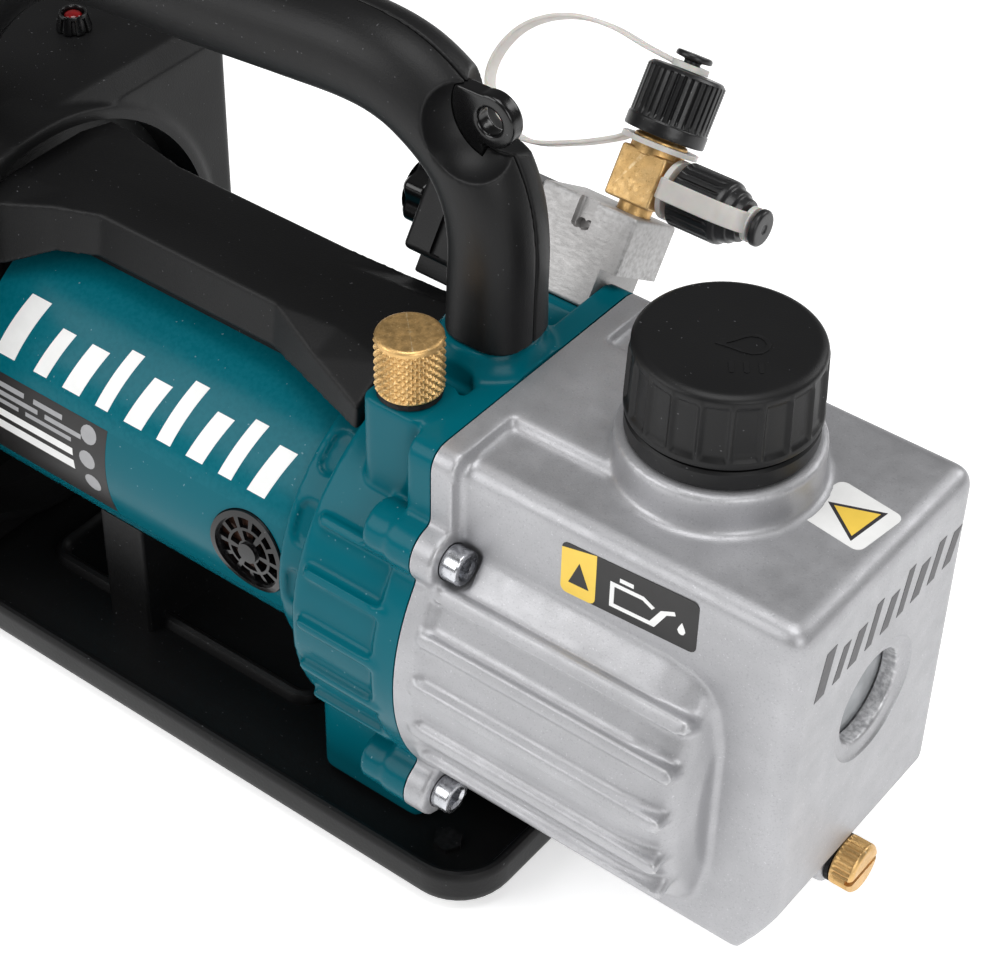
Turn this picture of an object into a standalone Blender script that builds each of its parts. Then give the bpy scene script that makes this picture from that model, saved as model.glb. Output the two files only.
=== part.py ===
"""Cordless two-valve vacuum pump, modelled as an assembly of separate parts.

Numbers are millimetres and the helpers turn them into metres. Everything hangs on an empty,
"pump_frame", whose X = 0 is the front face of the oil case, Y = 0 the plane through the pump axis
and Z = 0 the surface that the rubber feet stand on. The pump axis is parallel to X.
"""

import math

import bmesh
import bpy
from mathutils import Vector

MM = 0.001
GAP = 0.3

# --- driving dimensions, in millimetres ----------------------------------------------------------
FRAME_SHIFT = (184.45, -4.27)      # puts the middle of the whole box over the origin
AXIS_Z = 79.0                     # height of the pump and motor axis

LIP_TOP_Z = 153.0                 # the joint's lip and the pad in front of it
LIP_HALF = 46.0
LIP_X = -103.5
CASE_TOP_Z = 150.0
CASE_BOTTOM_Z = 27.0
CASE_HALF = 42.3
CASE_WALL = 4.5
FLANGE_X = -110.0                 # joint face of the oil case
BULGE_R = 62.3
RIB_ANGLES = (56.5, 69.5, 84.0, 99.0, 112.0)

BELL_FACE_X = -111.4              # joint face of the pump flange
PLATE_BACK_X = -119.0
DRUM_BACK_X = -149.5
RING_BACK_X = -163.0
DRUM_R = 60.0
RING_R = 50.0
BELL_RIB_ANGLES = (54.5, 69.5, 85.0, 100.5, 116.0)

TUBE_R = 45.8
TUBE_WALL = 1.8
TUBE_FRONT_X = -156.0
TUBE_BACK_X = -290.0

SCREWS = ((-46.5, 120.5), (-49.8, 34.6), (46.5, 120.5), (49.8, 34.6))   # Y, Z of the four screws
BOSS_R = 8.5
SCREW_HEAD_X = -104.0

CAP_X = -53.0                     # oil filler axis
NECK_TOP_Z = 161.9
CAP_TOP_Z = 191.0
SIGHT = (1.0, 97.0)               # Y, Z of the sight glass
DRAIN_Z = 34.0
BALLAST = (-130.0, -30.5)         # X, Y of the gas ballast tower
TOWER_TOP_Z = 154.0
PAD_TOP_Z = 159.6                 # boss under the front leg of the handle

BORE_R = 24.0
ROTOR_R = 20.7
ROTOR_OFFSET = 3.0                # the bore's centre lies this far below the rotor's

LEAN = math.radians(34.0)         # the manifold leans this far about the pump axis
BLOCK_W = (76.0, 104.5)           # its near and far distance from the pump axis
TEE_X = -122.2
SIDE_PORT_W = 114.8

HOUSING_FRONT_X = -298.0
HOUSING_BACK_X = -362.0
HOUSING_HALF = 82.0
HOUSING_TOP_Z = 150.0
LED = (-331.0, 48.0)               # X, Y of the lamp
ROCKER = (-330.0, -50.0, 145.5)    # axis of the power rocker
ARCH_R = 67.5
COVER_AXIS = (-366.0, 142.0)      # X, Z of the battery cover's hinge
COVER_BACK_X = -373.7

TRAY_X = (-352.0, -82.8)
TRAY_HALF = 63.0
TRAY_FLOOR = (3.3, 6.6)
TRAY_RIM_Z = 15.0
TRAY_CORNER = 18.0

TEAL = (0.0, 0.16, 0.235)
SILVER = (0.46, 0.46, 0.47)
BLACK = (0.015, 0.015, 0.017)
RUBBER = (0.008, 0.008, 0.009)
BRASS = (0.62, 0.40, 0.13)
STEEL = (0.45, 0.46, 0.48)

# --- scene and helpers ---------------------------------------------------------------------------
for old in list(bpy.data.objects):
    bpy.data.objects.remove(old, do_unlink=True)

parts = bpy.data.collections.new("hvac_vacuum_pump")
cutters = bpy.data.collections.new("cutters")
for collection in (parts, cutters):
    bpy.context.scene.collection.children.link(collection)

pump_frame = bpy.data.objects.new("pump_frame", None)
pump_frame.location = (FRAME_SHIFT[0] * MM, FRAME_SHIFT[1] * MM, 0)
parts.objects.link(pump_frame)

# in this frame Y runs across the leaning manifold and Z away from the pump axis
lean_frame = bpy.data.objects.new("lean_frame", None)
lean_frame.parent = pump_frame
lean_frame.location = (0, 0, AXIS_Z * MM)
lean_frame.rotation_euler = (-LEAN, 0, 0)
parts.objects.link(lean_frame)

ALONG_X = (0, math.pi / 2, 0)
ALONG_Y = (-math.pi / 2, 0, 0)


def angle_shading():
    """A node group that shades smooth, but leaves every edge over 32 degrees sharp."""
    group = bpy.data.node_groups.new("smooth_by_angle", "GeometryNodeTree")
    group.interface.new_socket("Mesh", in_out="INPUT", socket_type="NodeSocketGeometry")
    group.interface.new_socket("Mesh", in_out="OUTPUT", socket_type="NodeSocketGeometry")
    nodes, links = group.nodes, group.links
    entry, leave = nodes.new("NodeGroupInput"), nodes.new("NodeGroupOutput")
    angle = nodes.new("GeometryNodeInputMeshEdgeAngle")
    flat = nodes.new("FunctionNodeCompare")
    flat.operation = "LESS_THAN"
    flat.inputs["B"].default_value = math.radians(32)
    links.new(angle.outputs["Unsigned Angle"], flat.inputs["A"])
    faces = nodes.new("GeometryNodeSetShadeSmooth")
    edges = nodes.new("GeometryNodeSetShadeSmooth")
    edges.domain = "EDGE"
    links.new(entry.outputs[0], faces.inputs["Geometry"])
    links.new(faces.outputs[0], edges.inputs["Geometry"])
    links.new(flat.outputs[0], edges.inputs["Shade Smooth"])
    links.new(edges.outputs[0], leave.inputs[0])
    return group


smooth_by_angle = angle_shading()


def paint(obj, name, colour, roughness, metallic=0.0):
    """Give the finished part its own Principled material, and shade it."""
    mat = bpy.data.materials.new(name)
    mat.use_nodes = True
    shader = mat.node_tree.nodes["Principled BSDF"]
    shader.inputs["Base Color"].default_value = (*colour, 1)
    shader.inputs["Roughness"].default_value = roughness
    shader.inputs["Metallic"].default_value = metallic
    obj.data.materials.append(mat)
    if obj.type == "MESH":
        obj.modifiers.new("shade", "NODES").node_group = smooth_by_angle
    return obj


def add(name, mesh, frame=pump_frame, at=(0, 0, 0), turn=(0, 0, 0)):
    """Link a new part whose mesh is in metres; at and turn are in the frame given."""
    obj = bpy.data.objects.new(name, mesh)
    obj.parent = frame
    obj.location = Vector(at) * MM
    obj.rotation_euler = turn
    parts.objects.link(obj)
    return obj


def as_tool(obj):
    """Turn an object into a hidden Boolean operand."""
    parts.objects.unlink(obj)
    cutters.objects.link(obj)
    obj.hide_render = True
    obj.display_type = "WIRE"
    return obj


def box(name, x, y, z, bevel=0.0, segments=2, frame=pump_frame, origin=(0, 0, 0)):
    """A box between two values on each axis; origin moves the object's own centre."""
    size = Vector((x[1] - x[0], y[1] - y[0], z[1] - z[0]))
    middle = Vector((x[0] + x[1], y[0] + y[1], z[0] + z[1])) / 2 - Vector(origin)
    mesh = bpy.data.meshes.new(name)
    bm = bmesh.new()
    bmesh.ops.create_cube(bm, size=1.0)
    bmesh.ops.scale(bm, vec=size * MM, verts=bm.verts)
    bmesh.ops.translate(bm, vec=middle * MM, verts=bm.verts)
    bm.to_mesh(mesh)
    bm.free()
    obj = add(name, mesh, frame, origin)
    if bevel:
        round_edges(obj, bevel, segments)
    return obj


def round_edges(obj, width, segments=2, limit=30):
    mod = obj.modifiers.new("round", "BEVEL")
    mod.width = width * MM
    mod.segments = segments
    mod.limit_method = "ANGLE"
    mod.angle_limit = math.radians(limit)


def turned(name, profile, steps=32, frame=pump_frame, at=(0, 0, 0), turn=(0, 0, 0), ring=False):
    """Screw a profile of (radius, height) points, outer side from top to bottom."""
    mesh = bpy.data.meshes.new(name)
    edges = [(i, i + 1) for i in range(len(profile) - 1)]
    if ring:
        edges.append((len(profile) - 1, 0))
    mesh.from_pydata([(r * MM, 0, h * MM) for r, h in profile], edges, [])
    obj = add(name, mesh, frame, at, turn)
    mod = obj.modifiers.new("turn", "SCREW")
    mod.axis = "Z"
    mod.steps = mod.render_steps = steps
    mod.use_merge_vertices = True
    mod.merge_threshold = 0.00001
    mod.use_smooth_shade = True
    return obj


def rod(name, radius, low, high, steps=24, frame=pump_frame, at=(0, 0, 0), turn=(0, 0, 0)):
    """A solid cylinder between two heights on its own axis."""
    mesh = bpy.data.meshes.new(name)
    bm = bmesh.new()
    bmesh.ops.create_cone(bm, cap_ends=True, segments=steps, radius1=radius * MM, radius2=radius * MM,
                          depth=(high - low) * MM)
    bmesh.ops.translate(bm, vec=(0, 0, (high + low) / 2 * MM), verts=bm.verts)
    bm.to_mesh(mesh)
    bm.free()
    return add(name, mesh, frame, at, turn)


def ball(name, radius, at, steps=20):
    mesh = bpy.data.meshes.new(name)
    bm = bmesh.new()
    bmesh.ops.create_uvsphere(bm, u_segments=steps, v_segments=steps // 2, radius=radius * MM)
    bm.to_mesh(mesh)
    bm.free()
    return add(name, mesh, pump_frame, at)


def ring(name, inner, outer, low, high, steps=32, **place):
    profile = [(outer, high), (outer, low), (inner, low), (inner, high)]
    return turned(name, profile, steps, ring=True, **place)


def boolean(obj, tool, operation):
    mod = obj.modifiers.new(operation.lower(), "BOOLEAN")
    mod.operation = operation
    mod.solver = "EXACT"
    mod.object = tool
    if tool.name in parts.objects:
        as_tool(tool)
    return obj


def cut(obj, *tools):
    for tool in tools:
        boolean(obj, tool, "DIFFERENCE")
    return obj


def fuse(obj, *tools):
    for tool in tools:
        boolean(obj, tool, "UNION")
    return obj


def use_manifold(obj):
    """The many Booleans of a casting stay closed only with the manifold solver."""
    for mod in obj.modifiers:
        if mod.type == "BOOLEAN":
            mod.solver = "MANIFOLD"


def smooth_path(points, count):
    """Catmull-Rom points through a route, evenly shared between its spans."""
    route = [Vector(p) for p in points]
    route = [2 * route[0] - route[1]] + route + [2 * route[-1] - route[-2]]
    spans = len(route) - 3
    path = []
    for i in range(count):
        t = i / (count - 1) * spans
        k = min(int(t), spans - 1)
        t -= k
        a, b, c, d = route[k:k + 4]
        path.append(0.5 * (2 * b + (c - a) * t + (2 * a - 5 * b + 4 * c - d) * t * t
                           + (3 * b - a - 3 * c + d) * t ** 3))
    return path


def round_bar(name, path, radii, detail, frame=pump_frame):
    """A round bar along a path: a curve with a bevel depth and filled caps."""
    curve = bpy.data.curves.new(name, "CURVE")
    curve.dimensions = "3D"
    curve.bevel_depth = MM
    curve.bevel_resolution = detail
    curve.use_fill_caps = True
    spline = curve.splines.new("POLY")
    spline.points.add(len(path) - 1)
    for point, place, radius in zip(spline.points, path, radii):
        point.co = (*(Vector(place) * MM), 1)
        point.radius = radius
    return add(name, curve, frame)


def outline(name, corners, low, high, plane, frame=pump_frame):
    """A flat outline with a thickness: an XZ outline grows along Y, an XY outline along Z."""
    curve = bpy.data.curves.new(name, "CURVE")
    curve.dimensions = "2D"
    curve.fill_mode = "BOTH"
    curve.extrude = (high - low) / 2 * MM
    spline = curve.splines.new("POLY")
    spline.points.add(len(corners) - 1)
    for point, (u, v) in zip(spline.points, corners):
        point.co = (u * MM, v * MM, 0, 1)
    spline.use_cyclic_u = True
    middle = (low + high) / 2
    if plane == "XZ":
        return add(name, curve, frame, (0, middle, 0), (math.pi / 2, 0, 0))
    return add(name, curve, frame, (0, 0, middle))


def as_mesh(curve_object):
    """Replace a curve object by the closed mesh of its shape, so that Booleans can take it."""
    bpy.context.view_layer.update()
    evaluated = curve_object.evaluated_get(bpy.context.evaluated_depsgraph_get())
    mesh = bpy.data.meshes.new_from_object(evaluated)
    bm = bmesh.new()
    bm.from_mesh(mesh)
    bmesh.ops.remove_doubles(bm, verts=bm.verts, dist=0.00001)
    bmesh.ops.recalc_face_normals(bm, faces=bm.faces)
    bm.to_mesh(mesh)
    bm.free()
    name = curve_object.name
    obj = add(name + "_mesh", mesh)
    obj.parent = curve_object.parent
    obj.location = curve_object.location
    obj.rotation_euler = curve_object.rotation_euler
    bpy.data.objects.remove(curve_object, do_unlink=True)
    obj.name = name
    return obj


def loft(name, sections):
    """Skin a row of unlike sections, each a ring of points in the same order."""
    bm = bmesh.new()
    rings = [[bm.verts.new(Vector(p) * MM) for p in section] for section in sections]
    count = len(rings[0])
    for a, b in zip(rings, rings[1:]):
        for i in range(count):
            j = (i + 1) % count
            bm.faces.new((a[i], a[j], b[j], b[i]))
    bm.faces.new(rings[0])
    bm.faces.new(rings[-1])
    bmesh.ops.recalc_face_normals(bm, faces=bm.faces)
    mesh = bpy.data.meshes.new(name)
    bm.to_mesh(mesh)
    bm.free()
    return add(name, mesh)


def around_axis(name, angle, x, radius, width):
    """A bar along X at an angle from the top about the pump axis, between two radii."""
    bar = box(name, x, (-width / 2, width / 2), radius)
    bar.location = (0, 0, AXIS_Z * MM)
    bar.rotation_euler = (math.radians(angle), 0, 0)
    return bar


def both_sides(angles):
    return [sign * angle for sign in (1, -1) for angle in angles]


# --- oil case ------------------------------------------------------------------------------------
def joint_outline(name, x, steps=40):
    """A plate with the joint's outline: a square with the round bulge and four screw bosses."""
    deep = (x[0] - 8, x[1] + 8)
    body = box(name, deep, (-LIP_HALF, LIP_HALF), (40, LIP_TOP_Z), 6, 2)
    fuse(body, rod(name + "_round", BULGE_R, deep[0] - 1, deep[1] + 1, steps, at=(0, 0, AXIS_Z),
                   turn=ALONG_X))
    for i, (y, z) in enumerate(SCREWS):
        fuse(body, rod(f"{name}_boss_{i}", BOSS_R, deep[0] - 2, deep[1] + 2, 16, at=(0, y, z),
                       turn=ALONG_X))
    return boolean(body, box(name + "_slab", x, (-90, 90), (0, 200)), "INTERSECT")


def make_oil_case():
    case = box("oil_case", (FLANGE_X - 12, 0), (-CASE_HALF, CASE_HALF), (CASE_BOTTOM_Z, CASE_TOP_Z), 6.0, 2)
    chamfer = box("case_chamfer", (-30, 30), (-60, 60), (-30, 0))
    chamfer.location = (0, 0, 44 * MM)
    chamfer.rotation_euler = (0, math.radians(-60), 0)
    bulge = turned("case_bulge", [(0, -20), (50, -20), (57, -23), (60.5, -29), (BULGE_R, FLANGE_X - 10),
                                  (0, FLANGE_X - 10)], 40, at=(0, 0, AXIS_Z), turn=ALONG_X)
    neck = turned("case_neck", [(0, NECK_TOP_Z), (27, NECK_TOP_Z), (27.6, 161), (27.6, 157), (30, 154.4),
                                (32, 152.6), (32, 146), (0, 146)], 28, at=(CAP_X, 0, 0))
    cut(case, chamfer)
    fuse(case, bulge, neck, joint_outline("case_lip", (FLANGE_X - 4, LIP_X)),
         box("case_pad", (FLANGE_X - 4, CAP_X), (-21, 21), (140, LIP_TOP_Z), 1.5, 1))
    for i, angle in enumerate(both_sides(RIB_ANGLES)):
        fuse(case, around_axis(f"case_rib_{i}", angle, (-106, -23), (56, BULGE_R + 2.2), 3.4))
    for i, (y, z) in enumerate(SCREWS):
        fuse(case, rod(f"case_boss_{i}", BOSS_R, FLANGE_X - 8, SCREW_HEAD_X + 0.6, 16,
                       at=(0, y, z), turn=ALONG_X))
    fuse(case, rod("drain_boss", 8.9, -16, -3, 16, at=(0, 0, DRAIN_Z), turn=ALONG_X))
    # everything behind the joint face goes, then the inside
    cut(case, box("case_trim", (FLANGE_X - 60, FLANGE_X), (-90, 90), (0, 200)))
    room = box("case_room", (FLANGE_X - 5, -CASE_WALL), (CASE_WALL - CASE_HALF, CASE_HALF - CASE_WALL),
               (34, CASE_TOP_Z - CASE_WALL))
    round_room = rod("case_round_room", BULGE_R - 4.5, FLANGE_X - 5, -28, 32,
                     at=(0, 0, AXIS_Z), turn=ALONG_X)
    cut(case, fuse(room, round_room))
    fuse(case, ring("sight_seat", 12, 18.5, -14, -3, 24, at=(0, *SIGHT), turn=ALONG_X))
    cut(case, rod("sight_recess", 17.6, -1.2, 3, 28, at=(0, *SIGHT), turn=ALONG_X))
    cut(case, rod("sight_hole", 14, -20, 3, 24, at=(0, *SIGHT), turn=ALONG_X))
    cut(case, rod("sight_bore", 16, -20, -6, 24, at=(0, *SIGHT), turn=ALONG_X))
    cut(case, rod("filler_hole", 20, 140, 170, 28, at=(CAP_X, 0, 0)))
    cut(case, rod("drain_spot_face", 8.6, -3, 9, 20, at=(0, 0, DRAIN_Z), turn=ALONG_X))
    cut(case, rod("drain_hole", 5, -30, 3, 14, at=(0, 0, DRAIN_Z), turn=ALONG_X))
    for i, (y, z) in enumerate(SCREWS):
        cut(case, rod(f"case_screw_hole_{i}", 3.15, FLANGE_X - 9, SCREW_HEAD_X + 3, 10,
                      at=(0, y, z), turn=ALONG_X))
        cut(case, rod(f"case_screw_room_{i}", 6.2, SCREW_HEAD_X - 0.2, -95, 16, at=(0, y, z), turn=ALONG_X))
    use_manifold(case)
    return paint(case, "cast_silver", SILVER, 0.42, 0.85)


def screw_holes(obj, x):
    for i, (y, z) in enumerate(SCREWS):
        cut(obj, rod(f"{obj.name}_hole_{i}", 3.15, *x, 10, at=(0, y, z), turn=ALONG_X))
    return obj


def make_gasket():
    gasket = joint_outline("case_gasket", (BELL_FACE_X + 0.3, FLANGE_X - 0.3), 32)
    cut(gasket, rod("gasket_opening", 50, -130, -100, 32, at=(0, 0, AXIS_Z), turn=ALONG_X))
    screw_holes(gasket, (-130, -100))
    return paint(gasket, "gasket_fibre", BLACK, 0.8)


# --- pump flange, the casting between motor and oil case -------------------------------------------
def make_pump_flange():
    flange = joint_outline("pump_flange", (PLATE_BACK_X, BELL_FACE_X))
    drum = turned("bell_drum", [(0, PLATE_BACK_X + 4), (DRUM_R, PLATE_BACK_X + 4), (DRUM_R, DRUM_BACK_X + 2),
                                (DRUM_R - 2, DRUM_BACK_X), (0, DRUM_BACK_X)], 40,
                  at=(0, 0, AXIS_Z), turn=ALONG_X)
    back = rod("bell_ring", RING_R, RING_BACK_X, DRUM_BACK_X + 5, 40, at=(0, 0, AXIS_Z), turn=ALONG_X)
    foot = box("bell_foot", (-153, -116), (-45, 45), (TRAY_FLOOR[1] + GAP, 50), 3, 1)
    leg_pad = box("bell_leg_pad", (-142, -113), (-17, 17), (125, LIP_TOP_Z - GAP), 4, 1)
    boss = turned("bell_leg_boss", [(0, PAD_TOP_Z), (13.2, PAD_TOP_Z), (13.8, PAD_TOP_Z - 0.8), (14.6, 156),
                                    (17, 153.2), (17, 146), (0, 146)], 28, at=(-126.5, 0, 0))
    cut(boss, box("bell_boss_front", (BELL_FACE_X, -90), (-30, 30), (140, 170)))
    tower = box("bell_tower", (BALLAST[0] - 9.5, BALLAST[0] + 10.5), (BALLAST[1] - 9.4, BALLAST[1] + 9.4),
                (105, TOWER_TOP_Z), 2.5, 1)
    pad = box("bell_manifold_pad", (-147, -113.2), (-14, 14.5), (50, BLOCK_W[0] - GAP), 1.5,
              frame=lean_frame)
    fuse(flange, drum, back, foot, leg_pad, boss, tower, pad)
    for i, angle in enumerate(both_sides(BELL_RIB_ANGLES)):
        fuse(flange, around_axis(f"bell_rib_{i}", angle, (-145.5, -116), (52, DRUM_R + 2.7), 3.0))
    for i, (y, z) in enumerate(SCREWS):
        fuse(flange, rod(f"bell_boss_{i}", BOSS_R - 0.6, -127, -114, 16, at=(0, y, z), turn=ALONG_X))
    motor_end = rod("bell_motor_end", TUBE_R + GAP, RING_BACK_X - 5, TUBE_FRONT_X + GAP, 40,
                    at=(0, 0, AXIS_Z), turn=ALONG_X)
    room = rod("bell_room", 43, RING_BACK_X - 5, -130, 32, at=(0, 0, AXIS_Z), turn=ALONG_X)
    bearing_seat = rod("bearing_seat", 16.3, -135, -119.7, 24, at=(0, 0, AXIS_Z), turn=ALONG_X)
    seal_seat = rod("seal_seat", 13.3, -118.5, -105, 24, at=(0, 0, AXIS_Z), turn=ALONG_X)
    shaft_hole = rod("shaft_hole", 9, -140, -100, 16, at=(0, 0, AXIS_Z), turn=ALONG_X)
    ballast_hole = rod("ballast_hole", 4.3, 136, 165, 12, at=(*BALLAST, 0))
    foot_room = box("foot_room", (-157, -122), (-39, 39), (-5, 22))
    cut(flange, motor_end, room, bearing_seat, seal_seat, shaft_hole, ballast_hole, foot_room)
    screw_holes(flange, (-124, -105))
    use_manifold(flange)
    return paint(flange, "teal_casting", TEAL, 0.3)


def make_case_screws():
    names = ("case_screw_top_near", "case_screw_bottom_near", "case_screw_top_far", "case_screw_bottom_far")
    for name, (y, z) in zip(names, SCREWS):
        head = SCREW_HEAD_X + 6.0
        screw = turned(name, [(0, head), (4.6, head), (5.15, head - 0.6), (5.15, head - 6.0 + 0.1),
                              (2.85, head - 6.0 + 0.1), (2.85, -123.5), (0, -123.5)], 16,
                       at=(0, y, z), turn=ALONG_X)
        cut(screw, rod(name + "_socket", 2.9, head - 3.2, head + 2, 6, at=(0, y, z), turn=ALONG_X))
        paint(screw, "zinc_steel", STEEL, 0.3, 1.0)


# --- fittings of the oil case --------------------------------------------------------------------
def make_case_fittings():
    glass = rod("sight_glass", 15.7, -10, -6.3, 24, at=(0, *SIGHT), turn=ALONG_X)
    paint(glass, "clear_glass", (0.75, 0.8, 0.8), 0.05)
    bezel = ring("sight_glass_ring", 12.5, 15.7, -13.8, -10.3, 24, at=(0, *SIGHT), turn=ALONG_X)
    paint(bezel, "ring_steel", STEEL, 0.35, 1.0)

    filter_body = turned("oil_mist_filter", [
        (19.6, 181), (19.6, 168.2), (24.6, 168), (25.1, 167.4), (25.1, 163.6), (24.6, 162.2), (19.6, 162.2),
        (19.6, 122), (5, 122), (5, 125), (16.5, 125), (16.5, 181)], 28, at=(CAP_X, 0, 0), ring=True)
    paint(filter_body, "filter_plastic", BLACK, 0.5)
    seal = ring("oil_cap_seal", 16.8, 19.4, 181.3, 182.6, 24, at=(CAP_X, 0, 0))
    paint(seal, "seal_rubber", RUBBER, 0.7)
    cap = turned("oil_cap", [
        (0, CAP_TOP_Z), (23.6, CAP_TOP_Z), (24.6, 189.9), (25.0, 186), (25.5, 169.3), (20, 169.3),
        (20, 182.9), (0, 182.9)], 36, at=(CAP_X, 0, 0))
    paint(cap, "cap_plastic", BLACK, 0.5)

    plug = turned("drain_plug", [
        (0, 6), (6.7, 6), (7.5, 5.2), (7.5, -1.2), (4.7, -1.2), (4.7, -15), (0, -15)], 20,
        at=(0, 0, DRAIN_Z), turn=ALONG_X)
    cut(plug, box("drain_slot", (4.2, 8), (-8, 8), (DRAIN_Z - 0.9, DRAIN_Z + 0.9)))
    paint(plug, "plug_brass", BRASS, 0.3, 1.0)
    drain_seal = ring("drain_seal", 5, 7.4, -2.7, -1.5, 20, at=(0, 0, DRAIN_Z), turn=ALONG_X)
    paint(drain_seal, "drain_rubber", RUBBER, 0.6)

    knob = turned("ballast_knob", [
        (0, 173.5), (8.6, 173.5), (9.35, 172.8), (9.35, 156.2), (4, 156.2), (4, 140), (0, 140)], 24,
        at=(*BALLAST, 0))
    paint(knob, "knob_brass", BRASS, 0.35, 1.0)
    knob_seal = ring("ballast_seal", 4.3, 8.9, TOWER_TOP_Z + GAP, 155.9, 20, at=(*BALLAST, 0))
    paint(knob_seal, "ballast_rubber", RUBBER, 0.6)


# --- vane pump inside the oil ------------------------------------------------------------------
def make_pump_stage():
    bore_z = AXIS_Z - ROTOR_OFFSET
    front = -76.0
    cylinder = rod("stage_cylinder", 36, -110.8, front, 32, at=(0, 0, AXIS_Z), turn=ALONG_X)
    cut(cylinder, rod("stage_bore", BORE_R, -120, -70, 32, at=(0, 0, bore_z), turn=ALONG_X))
    cut(cylinder, box("stage_flat", (-120, -70), (-40, 40), (111, 130)))
    cut(cylinder, rod("stage_port", 2.5, 85, 125, 12, at=(-93, 9, 0)))
    paint(cylinder, "cast_iron", (0.12, 0.12, 0.12), 0.5, 0.8)

    rotor = rod("stage_rotor", ROTOR_R, -110.5, front - GAP, 28, at=(0, 0, AXIS_Z), turn=ALONG_X)
    fuse(rotor, rod("rotor_stub", 7.8, -140, -105, 16, at=(0, 0, AXIS_Z), turn=ALONG_X))
    for name, side in (("vane_upper", 1), ("vane_lower", -1)):
        reach = sorted((side * 6.0, side * 23.0))
        cut(rotor, box(name + "_slot", (-108.5, -70), (-2.3, 2.3), (AXIS_Z + reach[0], AXIS_Z + reach[1])))
        blade = sorted((side * 7.5, side * 20.4))
        vane = box(name, (-108.2, front - 0.6), (-2.0, 2.0), (AXIS_Z + blade[0], AXIS_Z + blade[1]),
                   origin=(0, 0, AXIS_Z))
        paint(vane, name + "_composite", (0.05, 0.045, 0.04), 0.6)
    paint(rotor, "rotor_steel", STEEL, 0.3, 1.0)

    end_plate = rod("stage_end_plate", 36, front + GAP, -68.5, 32, at=(0, 0, AXIS_Z), turn=ALONG_X)
    cut(end_plate, box("plate_flat", (-80, -60), (-40, 40), (111, 130)))
    paint(end_plate, "plate_iron", (0.13, 0.13, 0.13), 0.5, 0.8)
    reed = box("exhaust_reed", (-103, -83), (3, 15.5), (111.3, 112.0))
    paint(reed, "reed_steel", STEEL, 0.25, 1.0)


# --- drive train -----------------------------------------------------------------------------------
def make_drive():
    axis = {"at": (0, 0, AXIS_Z), "turn": ALONG_X}
    seal = ring("shaft_seal", 8.3, 13, -118.2, -112, 20, **axis)
    paint(seal, "lip_seal", RUBBER, 0.6)
    front = ring("front_bearing", 8.1, 16, -129.5, -120, 20, **axis)
    paint(front, "front_race", STEEL, 0.25, 1.0)
    rear = ring("rear_bearing", 6.3, 13, -314.5, -306, 20, **axis)
    paint(rear, "rear_race", STEEL, 0.25, 1.0)
    coupling = turned("shaft_coupling", [(16, -132), (16, -155), (6.3, -155), (6.3, -143.5), (0, -143.5),
                                         (0, -140.5), (8.1, -140.5), (8.1, -132)], 20, ring=True, **axis)
    paint(coupling, "coupling_steel", STEEL, 0.4, 1.0)
    shaft = rod("motor_shaft", 6, -317, -144, 16, **axis)
    paint(shaft, "shaft_steel", STEEL, 0.25, 1.0)
    rotor = ring("motor_rotor", 6.3, 24, -250, -180, 24, **axis)
    paint(rotor, "rotor_laminations", (0.2, 0.2, 0.21), 0.4, 0.9)
    stator = ring("motor_stator", 25, 43.6, -252, -178, 28, **axis)
    paint(stator, "stator_laminations", (0.25, 0.14, 0.08), 0.5, 0.5)
    fan = ring("cooling_fan", 6.3, 13, -280, -264, 18, **axis)
    for i in range(7):
        blade = box(f"fan_blade_{i}", (-279, -265), (-1.1, 1.1), (11, 40))
        blade.location = (0, 0, AXIS_Z * MM)
        blade.rotation_euler = (i * math.tau / 7, 0, 0)
        fuse(fan, blade)
    paint(fan, "fan_plastic", BLACK, 0.5)


def make_motor_tube():
    axis = {"at": (0, 0, AXIS_Z), "turn": ALONG_X}
    shell = ring("motor_tube", TUBE_R - TUBE_WALL, TUBE_R, TUBE_BACK_X, TUBE_FRONT_X, 48, **axis)
    place = {"at": (-177.8, 0, AXIS_Z + 0.7), "turn": (math.pi / 2, 0, 0)}
    cut(shell, rod("vent_hole", 14, 30, 60, 20, **place))
    paint(shell, "teal_tube", TEAL, 0.25)

    grille = ring("vent_grille", TUBE_R - TUBE_WALL, TUBE_R + 0.8, -194, -162, 48, **axis)
    boolean(grille, rod("vent_blank", 13.7, 30, 60, 20, **place), "INTERSECT")
    for i in range(6):
        angle = math.radians(60 * i + 30)
        spot = (-177.8 + 8.3 * math.cos(angle), 0, AXIS_Z + 0.7 + 8.3 * math.sin(angle))
        cut(grille, rod(f"vent_slot_{i}", 3.0, 30, 60, 8, at=spot, turn=place["turn"]))
    paint(grille, "vent_plastic", BLACK, 0.3)


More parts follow.
